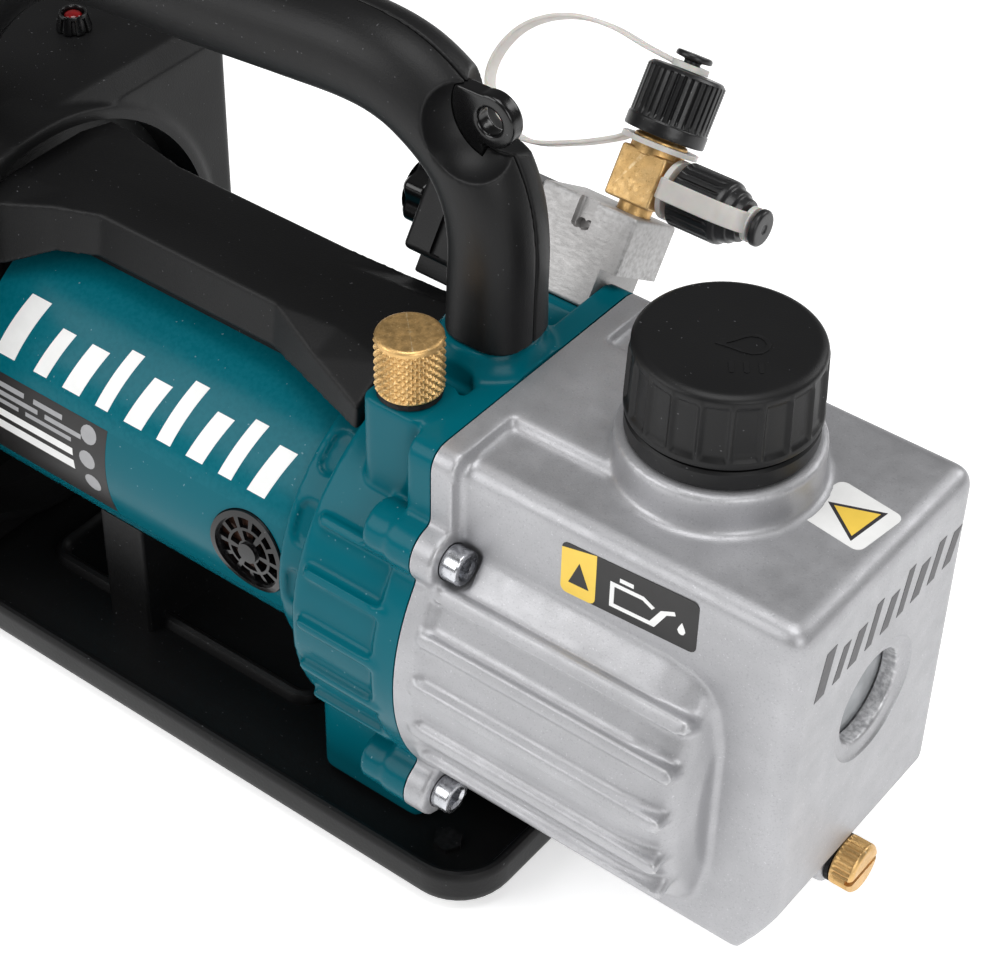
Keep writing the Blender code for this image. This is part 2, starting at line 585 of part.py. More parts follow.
def make_shroud():
    # x, half width of the crease, its height, height of the crown, half width of the skirt, its height
    stations = ((-297.0, 29.0, 139.0, 142.5, 31.0, 118.0),
                (-288.0, 26.0, 141.5, 144.8, 28.5, 121.0),
                (-272.0, 20.5, 144.5, 146.2, 22.5, 129.5),
                (-257.0, 16.5, 146.2, 146.8, 18.5, 132.0),
                (-190.0, 16.5, 146.2, 146.8, 18.5, 132.0),
                (-170.0, 23.0, 141.0, 145.5, 24.0, 130.5),
                (DRUM_BACK_X - GAP, 29.0, 136.5, 144.5, 29.5, 129.0))
    sections = []
    for x, crease, crease_z, crown_z, skirt, skirt_z in stations:
        sections.append([(x, -skirt, skirt_z), (x, -crease, crease_z), (x, -crease * 0.55, crown_z - 0.4),
                         (x, 0, crown_z), (x, crease * 0.55, crown_z - 0.4), (x, crease, crease_z),
                         (x, skirt, skirt_z)])
    shroud = loft("motor_shroud", sections)
    round_edges(shroud, 2.0, 2, 25)
    fuse(shroud, box("shroud_core", (-297, -165), (-11.5, 11.5), (118, 140)))
    cut(shroud, box("shroud_duct", (-300, -168), (-8.5, 8.5), (110, 138)))
    axis = {"at": (0, 0, AXIS_Z), "turn": ALONG_X}
    cut(shroud, rod("shroud_over_tube", TUBE_R + GAP, -310, RING_BACK_X - GAP, 48, **axis))
    cut(shroud, rod("shroud_over_ring", RING_R + GAP, RING_BACK_X - 2 * GAP, -140, 48, **axis))
    return paint(shroud, "shroud_plastic", BLACK, 0.55)


# --- rear housing --------------------------------------------------------------------------------
def make_rear_housing():
    x = (HOUSING_BACK_X, HOUSING_FRONT_X)
    housing = box("rear_housing", x, (-HOUSING_HALF, HOUSING_HALF), (18, HOUSING_TOP_Z), 2.5, 2)
    fuse(housing, box("housing_base", (x[0] + 20, x[1] - 2), (-50, 50), (TRAY_FLOOR[1] + GAP, 30), 2, 1))
    ears = [box(f"cover_ear_{i}", (COVER_AXIS[0] - 3.6, x[0] + 6), y, (COVER_AXIS[1] - 3.8, 147.5), 1, 1)
            for i, y in enumerate(((-44, -34), (34, 44)))]
    fuse(housing, *ears)
    slope = box("housing_slope", (-9, 9), (-90, 90), (0, 20))
    slope.location = ((x[1] - 3) * MM, 0, (HOUSING_TOP_Z - 3) * MM)
    slope.rotation_euler = (0, math.radians(45), 0)
    cut(housing, slope)
    fuse(housing, rod("housing_arch", ARCH_R + 4, -316, x[1] + 1.5, 40, at=(0, 0, AXIS_Z), turn=ALONG_X))
    intake = rod("housing_intake", ARCH_R, -312, x[1] + 4, 40, at=(0, 0, AXIS_Z), turn=ALONG_X)
    lower = box("housing_lower_intake", (-312, x[1] + 4), (-ARCH_R, ARCH_R), (24, AXIS_Z))
    cut(housing, intake, lower)
    cut(housing, box("battery_bay", (x[0] - 5, -317), (-72, 72), (58, 137), 3, 1))
    cut(housing, box("controller_bay", (x[0] + 4, -305), (-62, 62), (24, 52)))
    seat = rod("rear_bearing_seat", 13.3, -315, -300, 20, at=(0, 0, AXIS_Z), turn=ALONG_X)
    fuse(housing, rod("rear_bearing_boss", 18, -321, -306, 20, at=(0, 0, AXIS_Z), turn=ALONG_X))
    cut(housing, seat)
    cut(housing, rod("shaft_end_room", 7, -318.5, -300, 16, at=(0, 0, AXIS_Z), turn=ALONG_X))
    cut(housing, rod("ear_hole", 2.4, -50, 50, 14, at=(COVER_AXIS[0], 0, COVER_AXIS[1]), turn=ALONG_Y))
    for i in range(3):
        for side in (-1, 1):
            y = sorted((side * 60, side * 95))
            cut(housing, box(f"air_slot_{i}_{side}", (-310, -302), y, (96 + 14 * i, 101 + 14 * i)))
    cut(housing, box("rocker_hole", (-341, -319), (-58.3, -41.7), (130, 155)))
    cut(housing, rod("led_hole", 3.2, 130, 160, 16, at=(*LED, 0)))
    return paint(housing, "housing_plastic", BLACK, 0.55)


def make_rear_fittings():
    cover = box("battery_cover", (COVER_BACK_X, HOUSING_BACK_X - GAP), (-78, 78), (50, 136), 4, 1,
                origin=(COVER_AXIS[0], 0, COVER_AXIS[1]))
    fuse(cover, box("cover_barrel_web", (COVER_AXIS[0] - 3, COVER_AXIS[0] + 3), (-33, 33), (130, COVER_AXIS[1])))
    fuse(cover, rod("cover_barrel", 3.8, -33.6, 33.6, 20, at=(COVER_AXIS[0], 0, COVER_AXIS[1]), turn=ALONG_Y))
    fuse(cover, rod("cover_stub", 2.0, -42, 42, 12, at=(COVER_AXIS[0], 0, COVER_AXIS[1]), turn=ALONG_Y))
    cut(cover, box("cover_hollow", (COVER_BACK_X + 3, HOUSING_BACK_X + 5), (-71, 71), (60, 128)))
    cut(cover, box("latch_recess", (COVER_BACK_X - 5, COVER_BACK_X + 2.2), (-14.3, 14.3), (63.7, 88.3)))
    paint(cover, "cover_plastic", BLACK, 0.5)
    latch = box("cover_latch", (COVER_BACK_X - 0.2, COVER_BACK_X + 1.9), (-14, 14), (64, 82), 0.6, 1)
    for i in range(3):
        fuse(latch, box(f"latch_grip_{i}", (COVER_BACK_X - 1.2, COVER_BACK_X + 1), (-9, 9),
                        (68 + 4 * i, 69.6 + 4 * i)))
    paint(latch, "latch_plastic", BLACK, 0.4)

    terminals = box("terminal_block", (-322.5, -317.3), (-24, 24), (102, 132), 1.5, 1)
    for i, y in enumerate((-16, 0, 16)):
        fuse(terminals, box(f"terminal_blade_{i}", (-335, -321), (y - 0.5, y + 0.5), (108, 122)))
    paint(terminals, "terminal_plastic", (0.6, 0.5, 0.05), 0.5)
    board = box("controller_board", (-352, -322), (-50, 50), (24.3, 26))
    for i, (y, width, height) in enumerate(((-32, 16, 12), (-8, 12, 8), (20, 22, 15))):
        fuse(board, box(f"board_part_{i}", (-344, -330), (y - width / 2, y + width / 2), (25, 26 + height)))
    paint(board, "circuit_board", (0.02, 0.12, 0.05), 0.5)

    rocker = box("power_rocker", (-341, -319), (-58, -42), (142, 152.6), origin=ROCKER)
    boolean(rocker, rod("rocker_round", 9.8, -9, 9, 28, at=ROCKER, turn=ALONG_Y), "INTERSECT")
    paint(rocker, "rocker_plastic", BLACK, 0.4)
    bezel = turned("led_bezel", [(4.3, 156.3), (5.8, 150.3), (3.4, 150.3), (3.4, 155.3)], 18, ring=True,
                   at=(*LED, 0))
    paint(bezel, "bezel_gloss", BLACK, 0.2)
    lens = turned("led_lens", [(0, 155.9), (2.2, 155.6), (3.0, 154.6), (3.0, 141), (0, 141)], 16,
                  at=(*LED, 0))
    paint(lens, "lens_red", (0.35, 0.01, 0.01), 0.1)


# --- handle --------------------------------------------------------------------------------------
HANDLE_ROUTE = ((-125, 0, PAD_TOP_Z + GAP), (-125, 0, 172), (-125, 0, 188), (-127.5, 0, 201), (-133.5, 0, 211.5),
                (-143, 0, 220), (-155, 0, 226), (-170, 0, 227.8), (-192, 0, 226.3), (-218, 0, 224),
                (-242, 0, 222), (-264, 0, 220), (-284, 0, 215.5), (-302, 0, 205), (-318, 0, 189),
                (-330, 0, 173), (-338, 0, 157), (-341.5, 0, 145))
HANDLE_RADII = (12.4, 12.4, 12.5, 12.8, 13.1, 13.4, 13.7, 13.8, 13.8, 13.8, 13.8, 13.8, 13.6, 13.3, 13.0,
                13.0, 13.0, 13.0)
LUG = (-127.0, 224.0)             # X, Z of the strap lug's hole


def make_handle():
    count = 30
    path = smooth_path(HANDLE_ROUTE, count)
    radii = []
    for i in range(count):
        t = i / (count - 1) * (len(HANDLE_RADII) - 1)
        k = min(int(t), len(HANDLE_RADII) - 2)
        radii.append(HANDLE_RADII[k] + (HANDLE_RADII[k + 1] - HANDLE_RADII[k]) * (t - k))
    for name, side in (("handle_near_half", -1), ("handle_far_half", 1)):
        half = as_mesh(round_bar(name, path, radii, 5))
        keep = box(name + "_side", (-400, 0), sorted((side * 0.15, side * 40)), (100, 300))
        boolean(half, keep, "INTERSECT")
        cut(half, box(name + "_top_of_housing", (-400, -298), (-40, 40), (100, HOUSING_TOP_Z + GAP)))
        cut(half, ball(name + "_scoop", 15, (LUG[0] + 1, side * 10.5, LUG[1] + 2)))
        cut(half, box(name + "_lug_slot", (LUG[0] - 13, LUG[0] + 20), (-2.8, 2.8), (LUG[1] - 20, LUG[1] + 20)))
        paint(half, name + "_plastic", BLACK, 0.5)
    lug = rod("strap_lug", 7.6, -2.5, 2.5, 20, at=(LUG[0], 0, LUG[1]), turn=ALONG_Y)
    root = box("lug_root", (LUG[0] - 12.5, LUG[0]), (-2.5, 2.5), (LUG[1] - 14, LUG[1] + 7))
    fuse(lug, root)
    cut(lug, rod("lug_hole", 3.8, -10, 10, 14, at=(LUG[0], 0, LUG[1]), turn=ALONG_Y))
    paint(lug, "lug_gloss", BLACK, 0.12)


# --- leaning manifold with valve, tee and capped ports -------------------------------------------
def make_manifold():
    lean = {"frame": lean_frame}
    block = box("manifold_block", (-146, -114.0), (-12, 12.5), BLOCK_W, 1.2, 1, **lean)
    cut(block, box("block_foot", (PLATE_BACK_X - GAP, -110), (-15, 15), (70, 88), **lean))
    cut(block, box("block_notch", (-133.2, -127.2), (-15, -9.5), (96, 108), **lean))
    cut(block, rod("block_top_hole", 5.3, 92, 110, 14, at=(TEE_X, 0, 0), **lean))
    cut(block, rod("block_side_hole", 7.3, -150, -138, 18, at=(0, 0, 86.5), turn=ALONG_X, **lean))
    paint(block, "block_aluminium", (0.6, 0.6, 0.6), 0.35, 0.9)

    tee = box("tee_fitting", (TEE_X - 7.4, TEE_X + 7.4), (-7.4, 7.4), (107.2, 122.2), 0.7, 1, **lean)
    fuse(tee, rod("tee_neck", 5, 93, 108, 14, at=(TEE_X, 0, 0), **lean))
    fuse(tee, turned("tee_spud", [(0, 140), (5.4, 140), (6.6, 138.8), (6.6, 126.6), (7.8, 126.6), (7.8, 121),
                                  (0, 121)], 20, at=(TEE_X, 0, 0), **lean))
    fuse(tee, turned("tee_side_spud", [(0, -98.6), (4.2, -98.6), (5.1, -99.6), (5.1, TEE_X + 6),
                                       (0, TEE_X + 6)], 16, at=(0, 0, SIDE_PORT_W), turn=ALONG_X, **lean))
    paint(tee, "tee_brass", BRASS, 0.35, 1.0)

    large = turned("large_flare_cap", [
        (0, 151.2), (4.7, 151.2), (5.3, 150.6), (5.3, 149.4), (2.4, 149), (2.4, 146.2), (10.4, 146), (11.4, 145),
        (11.4, 131), (11.7, 130.8), (11.7, 127.2), (7.0, 127.2), (7.0, 141), (0, 141)], 24,
        at=(TEE_X, 0, 0), **lean)
    paint(large, "large_cap_plastic", BLACK, 0.35)
    small = turned("small_flare_cap", [
        (0, -83.4), (4.6, -83.4), (5.3, -84), (5.3, -85.6), (2.2, -86), (2.2, -89), (6.2, -89.2), (8, -93),
        (9.2, -96), (9.2, -110), (5.5, -110), (5.5, -97.6), (0, -97.6)], 20,
        at=(0, 0, SIDE_PORT_W), turn=ALONG_X, **lean)
    paint(small, "small_cap_plastic", BLACK, 0.35)

    make_tethers()


def strap_corners(route, thickness):
    """The closed outline of a strap of even thickness whose middle follows a flat route."""
    path = [Vector(point) for point in route]
    upper, lower = [], []
    for i, point in enumerate(path):
        before = path[max(i - 1, 0)]
        after = path[min(i + 1, len(path) - 1)]
        side = (after - before).normalized().orthogonal() * thickness / 2
        upper.append(tuple(point + side))
        lower.append(tuple(point - side))
    return upper + lower[::-1]


def make_tethers():
    lean = {"frame": lean_frame}
    route = ((TEE_X - 9.5, 0, 124.7), (-136, 0, 121.5), (-147, 0, 116), (-161, 0, 111.2), (-172, 0, 113.5),
             (-180, 0, 121), (-181.5, 0, 129), (-178, 0, 138), (-171, 0, 144.5), (-161, 0, 148.6),
             (-149, 0, 149.6), (-137, 0, 148.2), (TEE_X - 4.5, 0, 147.3))
    loop = [(p.x, p.z) for p in smooth_path(route, 22)]
    strap = as_mesh(outline("large_cap_tether", strap_corners(loop, 1.3), -2.6, 2.6, "XZ", lean_frame))
    fuse(strap, ring("large_base_ring", 8.2, 11.2, 123.9, 125.4, 24, at=(TEE_X, 0, 0), **lean))
    fuse(strap, ring("large_button_ring", 2.7, 5.4, 146.5, 148.2, 16, at=(TEE_X, 0, 0), **lean))
    paint(strap, "large_tether_nylon", (0.7, 0.66, 0.6), 0.4)

    bend = ((-112.9, -7.6), (-112.2, -10.4), (-109, -10.9), (-96, -10.9), (-91.2, -9.1), (-88.6, -7.2),
            (-87.5, -3.6))
    strap = as_mesh(outline("small_cap_tether", strap_corners(bend, 1.3), SIDE_PORT_W - 3,
                            SIDE_PORT_W + 3, "XY", lean_frame))
    axis = {"at": (0, 0, SIDE_PORT_W), "turn": ALONG_X}
    fuse(strap, ring("small_base_ring", 5.5, 8.6, -113.6, -112, 20, **axis, **lean))
    fuse(strap, ring("small_button_ring", 2.5, 5.0, -88.2, -86.7, 16, **axis, **lean))
    paint(strap, "small_tether_nylon", (0.7, 0.68, 0.66), 0.4)


def make_valve():
    lean = {"frame": lean_frame}
    axis = {"at": (0, 0, 86.5), "turn": ALONG_X}
    guide = turned("armature_tube", [(0, -181.5), (4.9, -181.5), (4.9, -138.5), (7, -138.5), (7, -183),
                                     (0, -183)], 18, **axis, **lean)
    paint(guide, "armature_steel", STEEL, 0.3, 1.0)
    plunger = rod("valve_plunger", 4.5, -168, -141, 20, **axis, **lean)
    paint(plunger, "plunger_steel", STEEL, 0.3, 1.0)
    turns, per_turn = 3, 9
    coil_path = []
    for i in range(turns * per_turn + 1):
        angle = i / per_turn * math.tau
        x = -168.8 - i / (turns * per_turn) * 11.6
        coil_path.append((x, 3.4 * math.cos(angle), 86.5 + 3.4 * math.sin(angle)))
    spring = round_bar("plunger_spring", coil_path, [0.45] * len(coil_path), 1, lean_frame)
    paint(spring, "spring_steel", STEEL, 0.3, 1.0)

    coil = box("solenoid_coil", (-179.5, -149), (-16, 16), (70.5, 102.5), 1.5, 1, **lean)
    cut(coil, rod("coil_bore", 7.3, -200, -140, 18, **axis, **lean))
    fuse(coil, box("coil_connector", (-177, -163), (-9, 12), (64.5, 72), **lean))
    paint(coil, "coil_plastic", BLACK, 0.5)
    nut = turned("coil_nut", [(0, -184.5), (7.3, -184.5), (7.3, -179.8), (10.4, -179.8), (10.4, -181.6),
                              (11.2, -182.2), (11.2, -188.6), (9.6, -190), (0, -190)], 24, **axis, **lean)
    paint(nut, "nut_plastic", BLACK, 0.3)


# --- base ----------------------------------------------------------------------------------------
def rounded_corners(x, half, radius, steps=6):
    """Corners of a rectangle about the X axis whose four corners are arcs."""
    corners = []
    for i, (cx, cy) in enumerate(((x[1], half), (x[0], half), (x[0], -half), (x[1], -half))):
        centre = (cx - math.copysign(radius, cx - (x[0] + x[1]) / 2), cy - math.copysign(radius, cy))
        for k in range(steps + 1):
            angle = (i + k / steps) * math.pi / 2
            corners.append((centre[0] + radius * math.cos(angle), centre[1] + radius * math.sin(angle)))
    return corners


def make_base():
    half = TRAY_HALF
    tray = as_mesh(outline("base_tray", rounded_corners(TRAY_X, half, TRAY_CORNER), TRAY_FLOOR[0],
                           TRAY_RIM_Z, "XY"))
    round_edges(tray, 2.0, 2, 60)
    room = as_mesh(outline("tray_room", rounded_corners((TRAY_X[0] + 4, TRAY_X[1] - 4), half - 4,
                                                        TRAY_CORNER - 4), TRAY_FLOOR[1], 30, "XY"))
    cut(tray, room)
    bead = box("tray_bead", (-285, -170), (-31, 31), (TRAY_FLOOR[0] + 1, TRAY_FLOOR[1] + 3.4), 2)
    cut(bead, box("tray_bead_room", (-279, -176), (-25.5, 25.5), (TRAY_FLOOR[1] - 1, 30)))
    saddle = box("motor_saddle", (-250, -232), (-36, 36), (TRAY_FLOOR[1] - 1.5, 62), 1.5)
    cut(saddle, rod("saddle_seat", TUBE_R + GAP, -260, -220, 40, at=(0, 0, AXIS_Z), turn=ALONG_X))
    fuse(tray, bead, saddle)
    feet = [(x, y) for x in (TRAY_X[0] + 22, TRAY_X[1] - 22) for y in (-half + 18, half - 18)]
    names = ("foot_rear_near", "foot_rear_far", "foot_front_near", "foot_front_far")
    for name, (x, y) in zip(names, feet):
        cut(tray, rod(name + "_hole", 3.3, 0, 12, 10, at=(x, y, 0)))
        foot = turned(name, [(0, 6.2), (3, 6.2), (3, 3), (9, 3), (10, 2.2), (9.4, 0), (0, 0)], 16, at=(x, y, 0))
        paint(foot, name + "_rubber", RUBBER, 0.8)
    paint(tray, "tray_steel", BLACK, 0.4)


make_oil_case()
make_gasket()
make_pump_flange()
make_case_screws()
make_case_fittings()
make_pump_stage()
make_drive()
make_motor_tube()
make_shroud()
make_rear_housing()
make_rear_fittings()
make_handle()
make_manifold()
make_valve()
make_base()
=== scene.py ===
"""Looks for the vacuum pump: fine pieces over the CAD, procedural materials, camera and light.

Lengths are millimetres in the pump's own frame: X = 0 is the front face of the oil case, Y = 0
the plane through the pump axis, Z = 0 the ground. The manifold has a second frame, which leans
about the pump axis. settle() turns a finished piece into metres in the row frame.
"""
import math

import bmesh
import bpy
from mathutils import Matrix, Vector


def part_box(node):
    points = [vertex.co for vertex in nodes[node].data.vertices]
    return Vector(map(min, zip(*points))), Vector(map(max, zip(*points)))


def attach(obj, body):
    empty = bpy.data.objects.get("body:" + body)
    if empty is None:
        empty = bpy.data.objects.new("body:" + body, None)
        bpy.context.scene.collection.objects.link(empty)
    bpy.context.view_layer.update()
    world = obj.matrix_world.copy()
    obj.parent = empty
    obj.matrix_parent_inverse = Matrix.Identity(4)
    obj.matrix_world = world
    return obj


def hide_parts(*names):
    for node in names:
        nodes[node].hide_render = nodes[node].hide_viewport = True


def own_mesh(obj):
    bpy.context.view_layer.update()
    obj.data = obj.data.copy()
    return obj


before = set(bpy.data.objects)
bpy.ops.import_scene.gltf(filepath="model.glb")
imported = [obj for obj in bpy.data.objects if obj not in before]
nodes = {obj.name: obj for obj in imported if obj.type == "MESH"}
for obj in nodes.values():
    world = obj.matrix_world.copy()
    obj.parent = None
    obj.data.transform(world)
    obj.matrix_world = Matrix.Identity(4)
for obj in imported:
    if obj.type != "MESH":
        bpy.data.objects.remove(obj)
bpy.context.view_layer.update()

MM = 0.001
TAU = math.tau
AXIS_Z = 79.0
LEAN_ANGLE = math.radians(-34)   # how far the manifold leans
case_low, case_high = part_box("oil_case")
tube_low, tube_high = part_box("motor_tube")
ORIGIN = Vector((case_high[0], (tube_low[1] + tube_high[1]) / 2, 0))
PUMP = Matrix.Translation(ORIGIN) @ Matrix.Scale(MM, 4)
LEAN_LOCAL = Matrix.Translation((0, 0, AXIS_Z)) @ Matrix.Rotation(LEAN_ANGLE, 4, "X")
LEAN = PUMP @ LEAN_LOCAL
AXIS = (0, 0, AXIS_Z)

SCREWS = ((-46.5, 120.5), (-49.8, 34.6), (46.5, 120.5), (49.8, 34.6))
CAP_X = -53.0
SIGHT = (0, 1.0, 97.0)
DRAIN = (0, 0, 34.0)
BALLAST = (-130.0, -30.5, 0)
TEE_X = -122.2
SIDE_PORT = (0, 0, 114.8)
TUBE_R = 45.8              # outside of the motor barrel
TUBE_SEAT_R = 46.1         # bores and saddles that take the barrel
SCREW_HOLE_R = 3.15
CASE_SIDE = 42.3           # half width of the case above its bulge
CASE_TOP = 150
CASE_BACK = -110.4         # the joint between case and flange, with the gasket between them
GASKET = (-110.85, -110.45)
FLANGE_FRONT = -110.9
COIL_AXIS = (0, 0, 86.5)   # in the leaning frame
LID_HINGE = (-366, 0, 142)
LAMP = (-331, 48, 0)
FEET = {
    "foot_rear_near": (-330, -45, 0),
    "foot_rear_far": (-330, 45, 0),
    "foot_front_near": (-104.8, -45, 0),
    "foot_front_far": (-104.8, 45, 0),
}
FLAT_ANGLE = 45            # settle() weights the normals of a piece with a smaller angle


# --- mesh helpers --------------------------------------------------------------------------------
def link(name, bm):
    mesh = bpy.data.meshes.new(name)
    bm.normal_update()
    bm.to_mesh(mesh)
    bm.free()
    obj = bpy.data.objects.new(name, mesh)
    bpy.context.scene.collection.objects.link(obj)
    return obj


def aim(point, axis, at=(0, 0, 0)):
    """A point given on a Z axis, turned onto another axis and moved to at."""
    a, b, h = point
    turned = {"X": (h, a, b), "Y": (b, h, a), "Z": (a, b, h)}[axis]
    return Vector(turned) + Vector(at)


def block(x, y, z, bevel=0.0, segments=3):
    bm = bmesh.new()
    bmesh.ops.create_cube(bm, size=1)
    for v in bm.verts:
        v.co = Vector([low + (high - low) * (c + 0.5) for c, (low, high) in zip(v.co, (x, y, z))])
    if bevel:
        bmesh.ops.bevel(bm, geom=bm.edges[:], offset=bevel, segments=segments, profile=0.5,
            affect="EDGES")
    return link("block", bm)


def lathe(profile, at=(0, 0, 0), axis="Z", steps=64, ripple=None, closed=False):
    """Turn a profile of (radius, height) points. ripple(angle, radius, height) is added to
    the radius."""
    bm = bmesh.new()
    rows = []
    for r, h in profile:
        if r == 0:
            rows.append([bm.verts.new(aim((0, 0, h), axis, at))])
            continue
        row = []
        for k in range(steps):
            a = k / steps * TAU
            rr = r + (ripple(a, r, h) if ripple else 0)
            row.append(bm.verts.new(aim((rr * math.cos(a), rr * math.sin(a), h), axis, at)))
        rows.append(row)
    for upper, lower in zip(rows, rows[1:] + rows[:1] if closed else rows[1:]):
        for k in range(steps):
            quad = (upper[k % len(upper)], upper[(k + 1) % len(upper)],
                lower[(k + 1) % len(lower)], lower[k % len(lower)])
            corners = list(dict.fromkeys(quad))
            if len(corners) > 2:
                bm.faces.new(corners)
    bmesh.ops.recalc_face_normals(bm, faces=bm.faces)
    return link("lathe", bm)


def drum(radius, low, high, at=(0, 0, 0), axis="X", steps=64, bevel=0.0):
    profile = [(0, high), (radius, high), (radius, low), (0, low)]
    if bevel:
        profile = soft(profile, bevel)
    return lathe(profile, at, axis, steps)


def soft(profile, radius, count=3):
    """Round the inner corners of an open profile."""
    points = [Vector(p) for p in profile]
    result = [tuple(points[0])]
    for a, b, c in zip(points, points[1:], points[2:]):
        reach = min(radius, (a - b).length * 0.45, (c - b).length * 0.45)
        start, end = b + (a - b).normalized() * reach, b + (c - b).normalized() * reach
        for i in range(count + 1):
            t = i / count
            result.append(tuple((1 - t) ** 2 * start + 2 * t * (1 - t) * b + t * t * end))
    result.append(tuple(points[-1]))
    return result


def fine(profile, step):
    """The same profile with no span longer than step."""
    result = [profile[0]]
    for a, b in zip(profile, profile[1:]):
        count = max(1, math.ceil(math.dist(a, b) / step))
        result += [(a[0] + (b[0] - a[0]) * i / count, a[1] + (b[1] - a[1]) * i / count)
            for i in range(1, count + 1)]
    return result


def slab(corners, low, high, axis="Z", bevel=0.0):
    """A flat outline with a thickness. The corners are (x, y) on axis Z, (y, z) on X and
    (z, x) on Y."""
    bm = bmesh.new()
    lower = [bm.verts.new(aim((u, v, low), axis)) for u, v in corners]
    upper = [bm.verts.new(aim((u, v, high), axis)) for u, v in corners]
    bm.faces.new(lower)
    bm.faces.new(upper)
    for i in range(len(corners)):
        j = (i + 1) % len(corners)
        bm.faces.new((lower[i], lower[j], upper[j], upper[i]))
    bmesh.ops.recalc_face_normals(bm, faces=bm.faces)
    if bevel:
        sharp = [e for e in bm.edges if len(e.link_faces) == 2 and e.calc_face_angle() > 0.6]
        bmesh.ops.bevel(bm, geom=sharp, offset=bevel, segments=2, profile=0.5, affect="EDGES")
    return link("slab", bm)


def rounded(u, v, radius, steps=8):
    """Corners of a rectangle whose four corners are arcs."""
    corners = []
    for i, (cu, cv) in enumerate(((u[1], v[1]), (u[0], v[1]), (u[0], v[0]), (u[1], v[0]))):
        mu = cu - math.copysign(radius, cu - sum(u) / 2)
        mv = cv - math.copysign(radius, cv - sum(v) / 2)
        for k in range(steps + 1):
            a = (i + k / steps) * TAU / 4
            corners.append((mu + radius * math.cos(a), mv + radius * math.sin(a)))
    return corners


def skin(rings, loop=False):
    """Faces over rings of points in the same order, with closed ends unless it is a loop."""
    bm = bmesh.new()
    rows = [[bm.verts.new(Vector(p)) for p in ring] for ring in rings]
    count = len(rows[0])
    for a, b in zip(rows, rows[1:] + rows[:1] if loop else rows[1:]):
        for i in range(count):
            j = (i + 1) % count
            bm.faces.new((a[i], a[j], b[j], b[i]))
    if not loop:
        bm.faces.new(rows[0])
        bm.faces.new(rows[-1])
    bmesh.ops.recalc_face_normals(bm, faces=bm.faces)
    return link("skin", bm)


def smooth_path(points, count):
    route = [Vector(p) for p in points]
    route = [2 * route[0] - route[1]] + route + [2 * route[-1] - route[-2]]
    spans = len(route) - 3
    path = []
    for i in range(count):
        t = i / (count - 1) * spans
        k = min(int(t), spans - 1)
        t -= k
        a, b, c, d = route[k:k + 4]
        path.append(0.5 * (2 * b + (c - a) * t + (2 * a - 5 * b + 4 * c - d) * t * t
            + (3 * b - a - 3 * c + d) * t ** 3))
    return path


def moved(obj, matrix):
    obj.data.transform(matrix)
    return obj


def spun(obj, degrees):
    """Turn a piece about the pump axis."""
    turn = Matrix.Rotation(math.radians(degrees), 4, "X")
    return moved(obj, Matrix.Translation(AXIS) @ turn @ Matrix.Translation((0, 0, -AXIS_Z)))


def tilted(obj, at, degrees, axis="Y"):
    return moved(obj, Matrix.Translation(at) @ Matrix.Rotation(math.radians(degrees), 4, axis))


def discard(obj):
    mesh = obj.data
    bpy.data.objects.remove(obj)
    bpy.data.meshes.remove(mesh)


def bake(obj):
    """Apply every modifier."""
    bpy.context.view_layer.update()
    evaluated = obj.evaluated_get(bpy.context.evaluated_depsgraph_get())
    shaped = bpy.data.meshes.new_from_object(evaluated)
    old = obj.data
    obj.modifiers.clear()
    obj.data = shaped
    bpy.data.meshes.remove(old)
    return obj


def boolean(obj, tools, operation):
    for tool in tools:
        mod = obj.modifiers.new("boolean", "BOOLEAN")
        mod.operation = operation
        mod.solver = "MANIFOLD"
        mod.object = tool
    bake(obj)
    for tool in tools:
        discard(tool)
    return obj


def carve(obj, *tools):
    return boolean(obj, tools, "DIFFERENCE")


def weld(obj, *tools):
    return boolean(obj, tools, "UNION")


def join(objs):
    bm = bmesh.new()
    for obj in objs:
        bm.from_mesh(obj.data)
        discard(obj)
    return link("joined", bm)


def cast(objs, voxel, rounds, strength=0.5):
    """Melt overlapping solids into one casting whose corners and roots are rounded."""
    obj = join(objs) if isinstance(objs, (list, tuple)) else objs
    remesh = obj.modifiers.new("melt", "REMESH")
    remesh.mode = "VOXEL"
    remesh.voxel_size = voxel
    if rounds:
        smooth = obj.modifiers.new("smooth", "SMOOTH")
        smooth.factor = strength
        smooth.iterations = rounds
    return bake(obj)


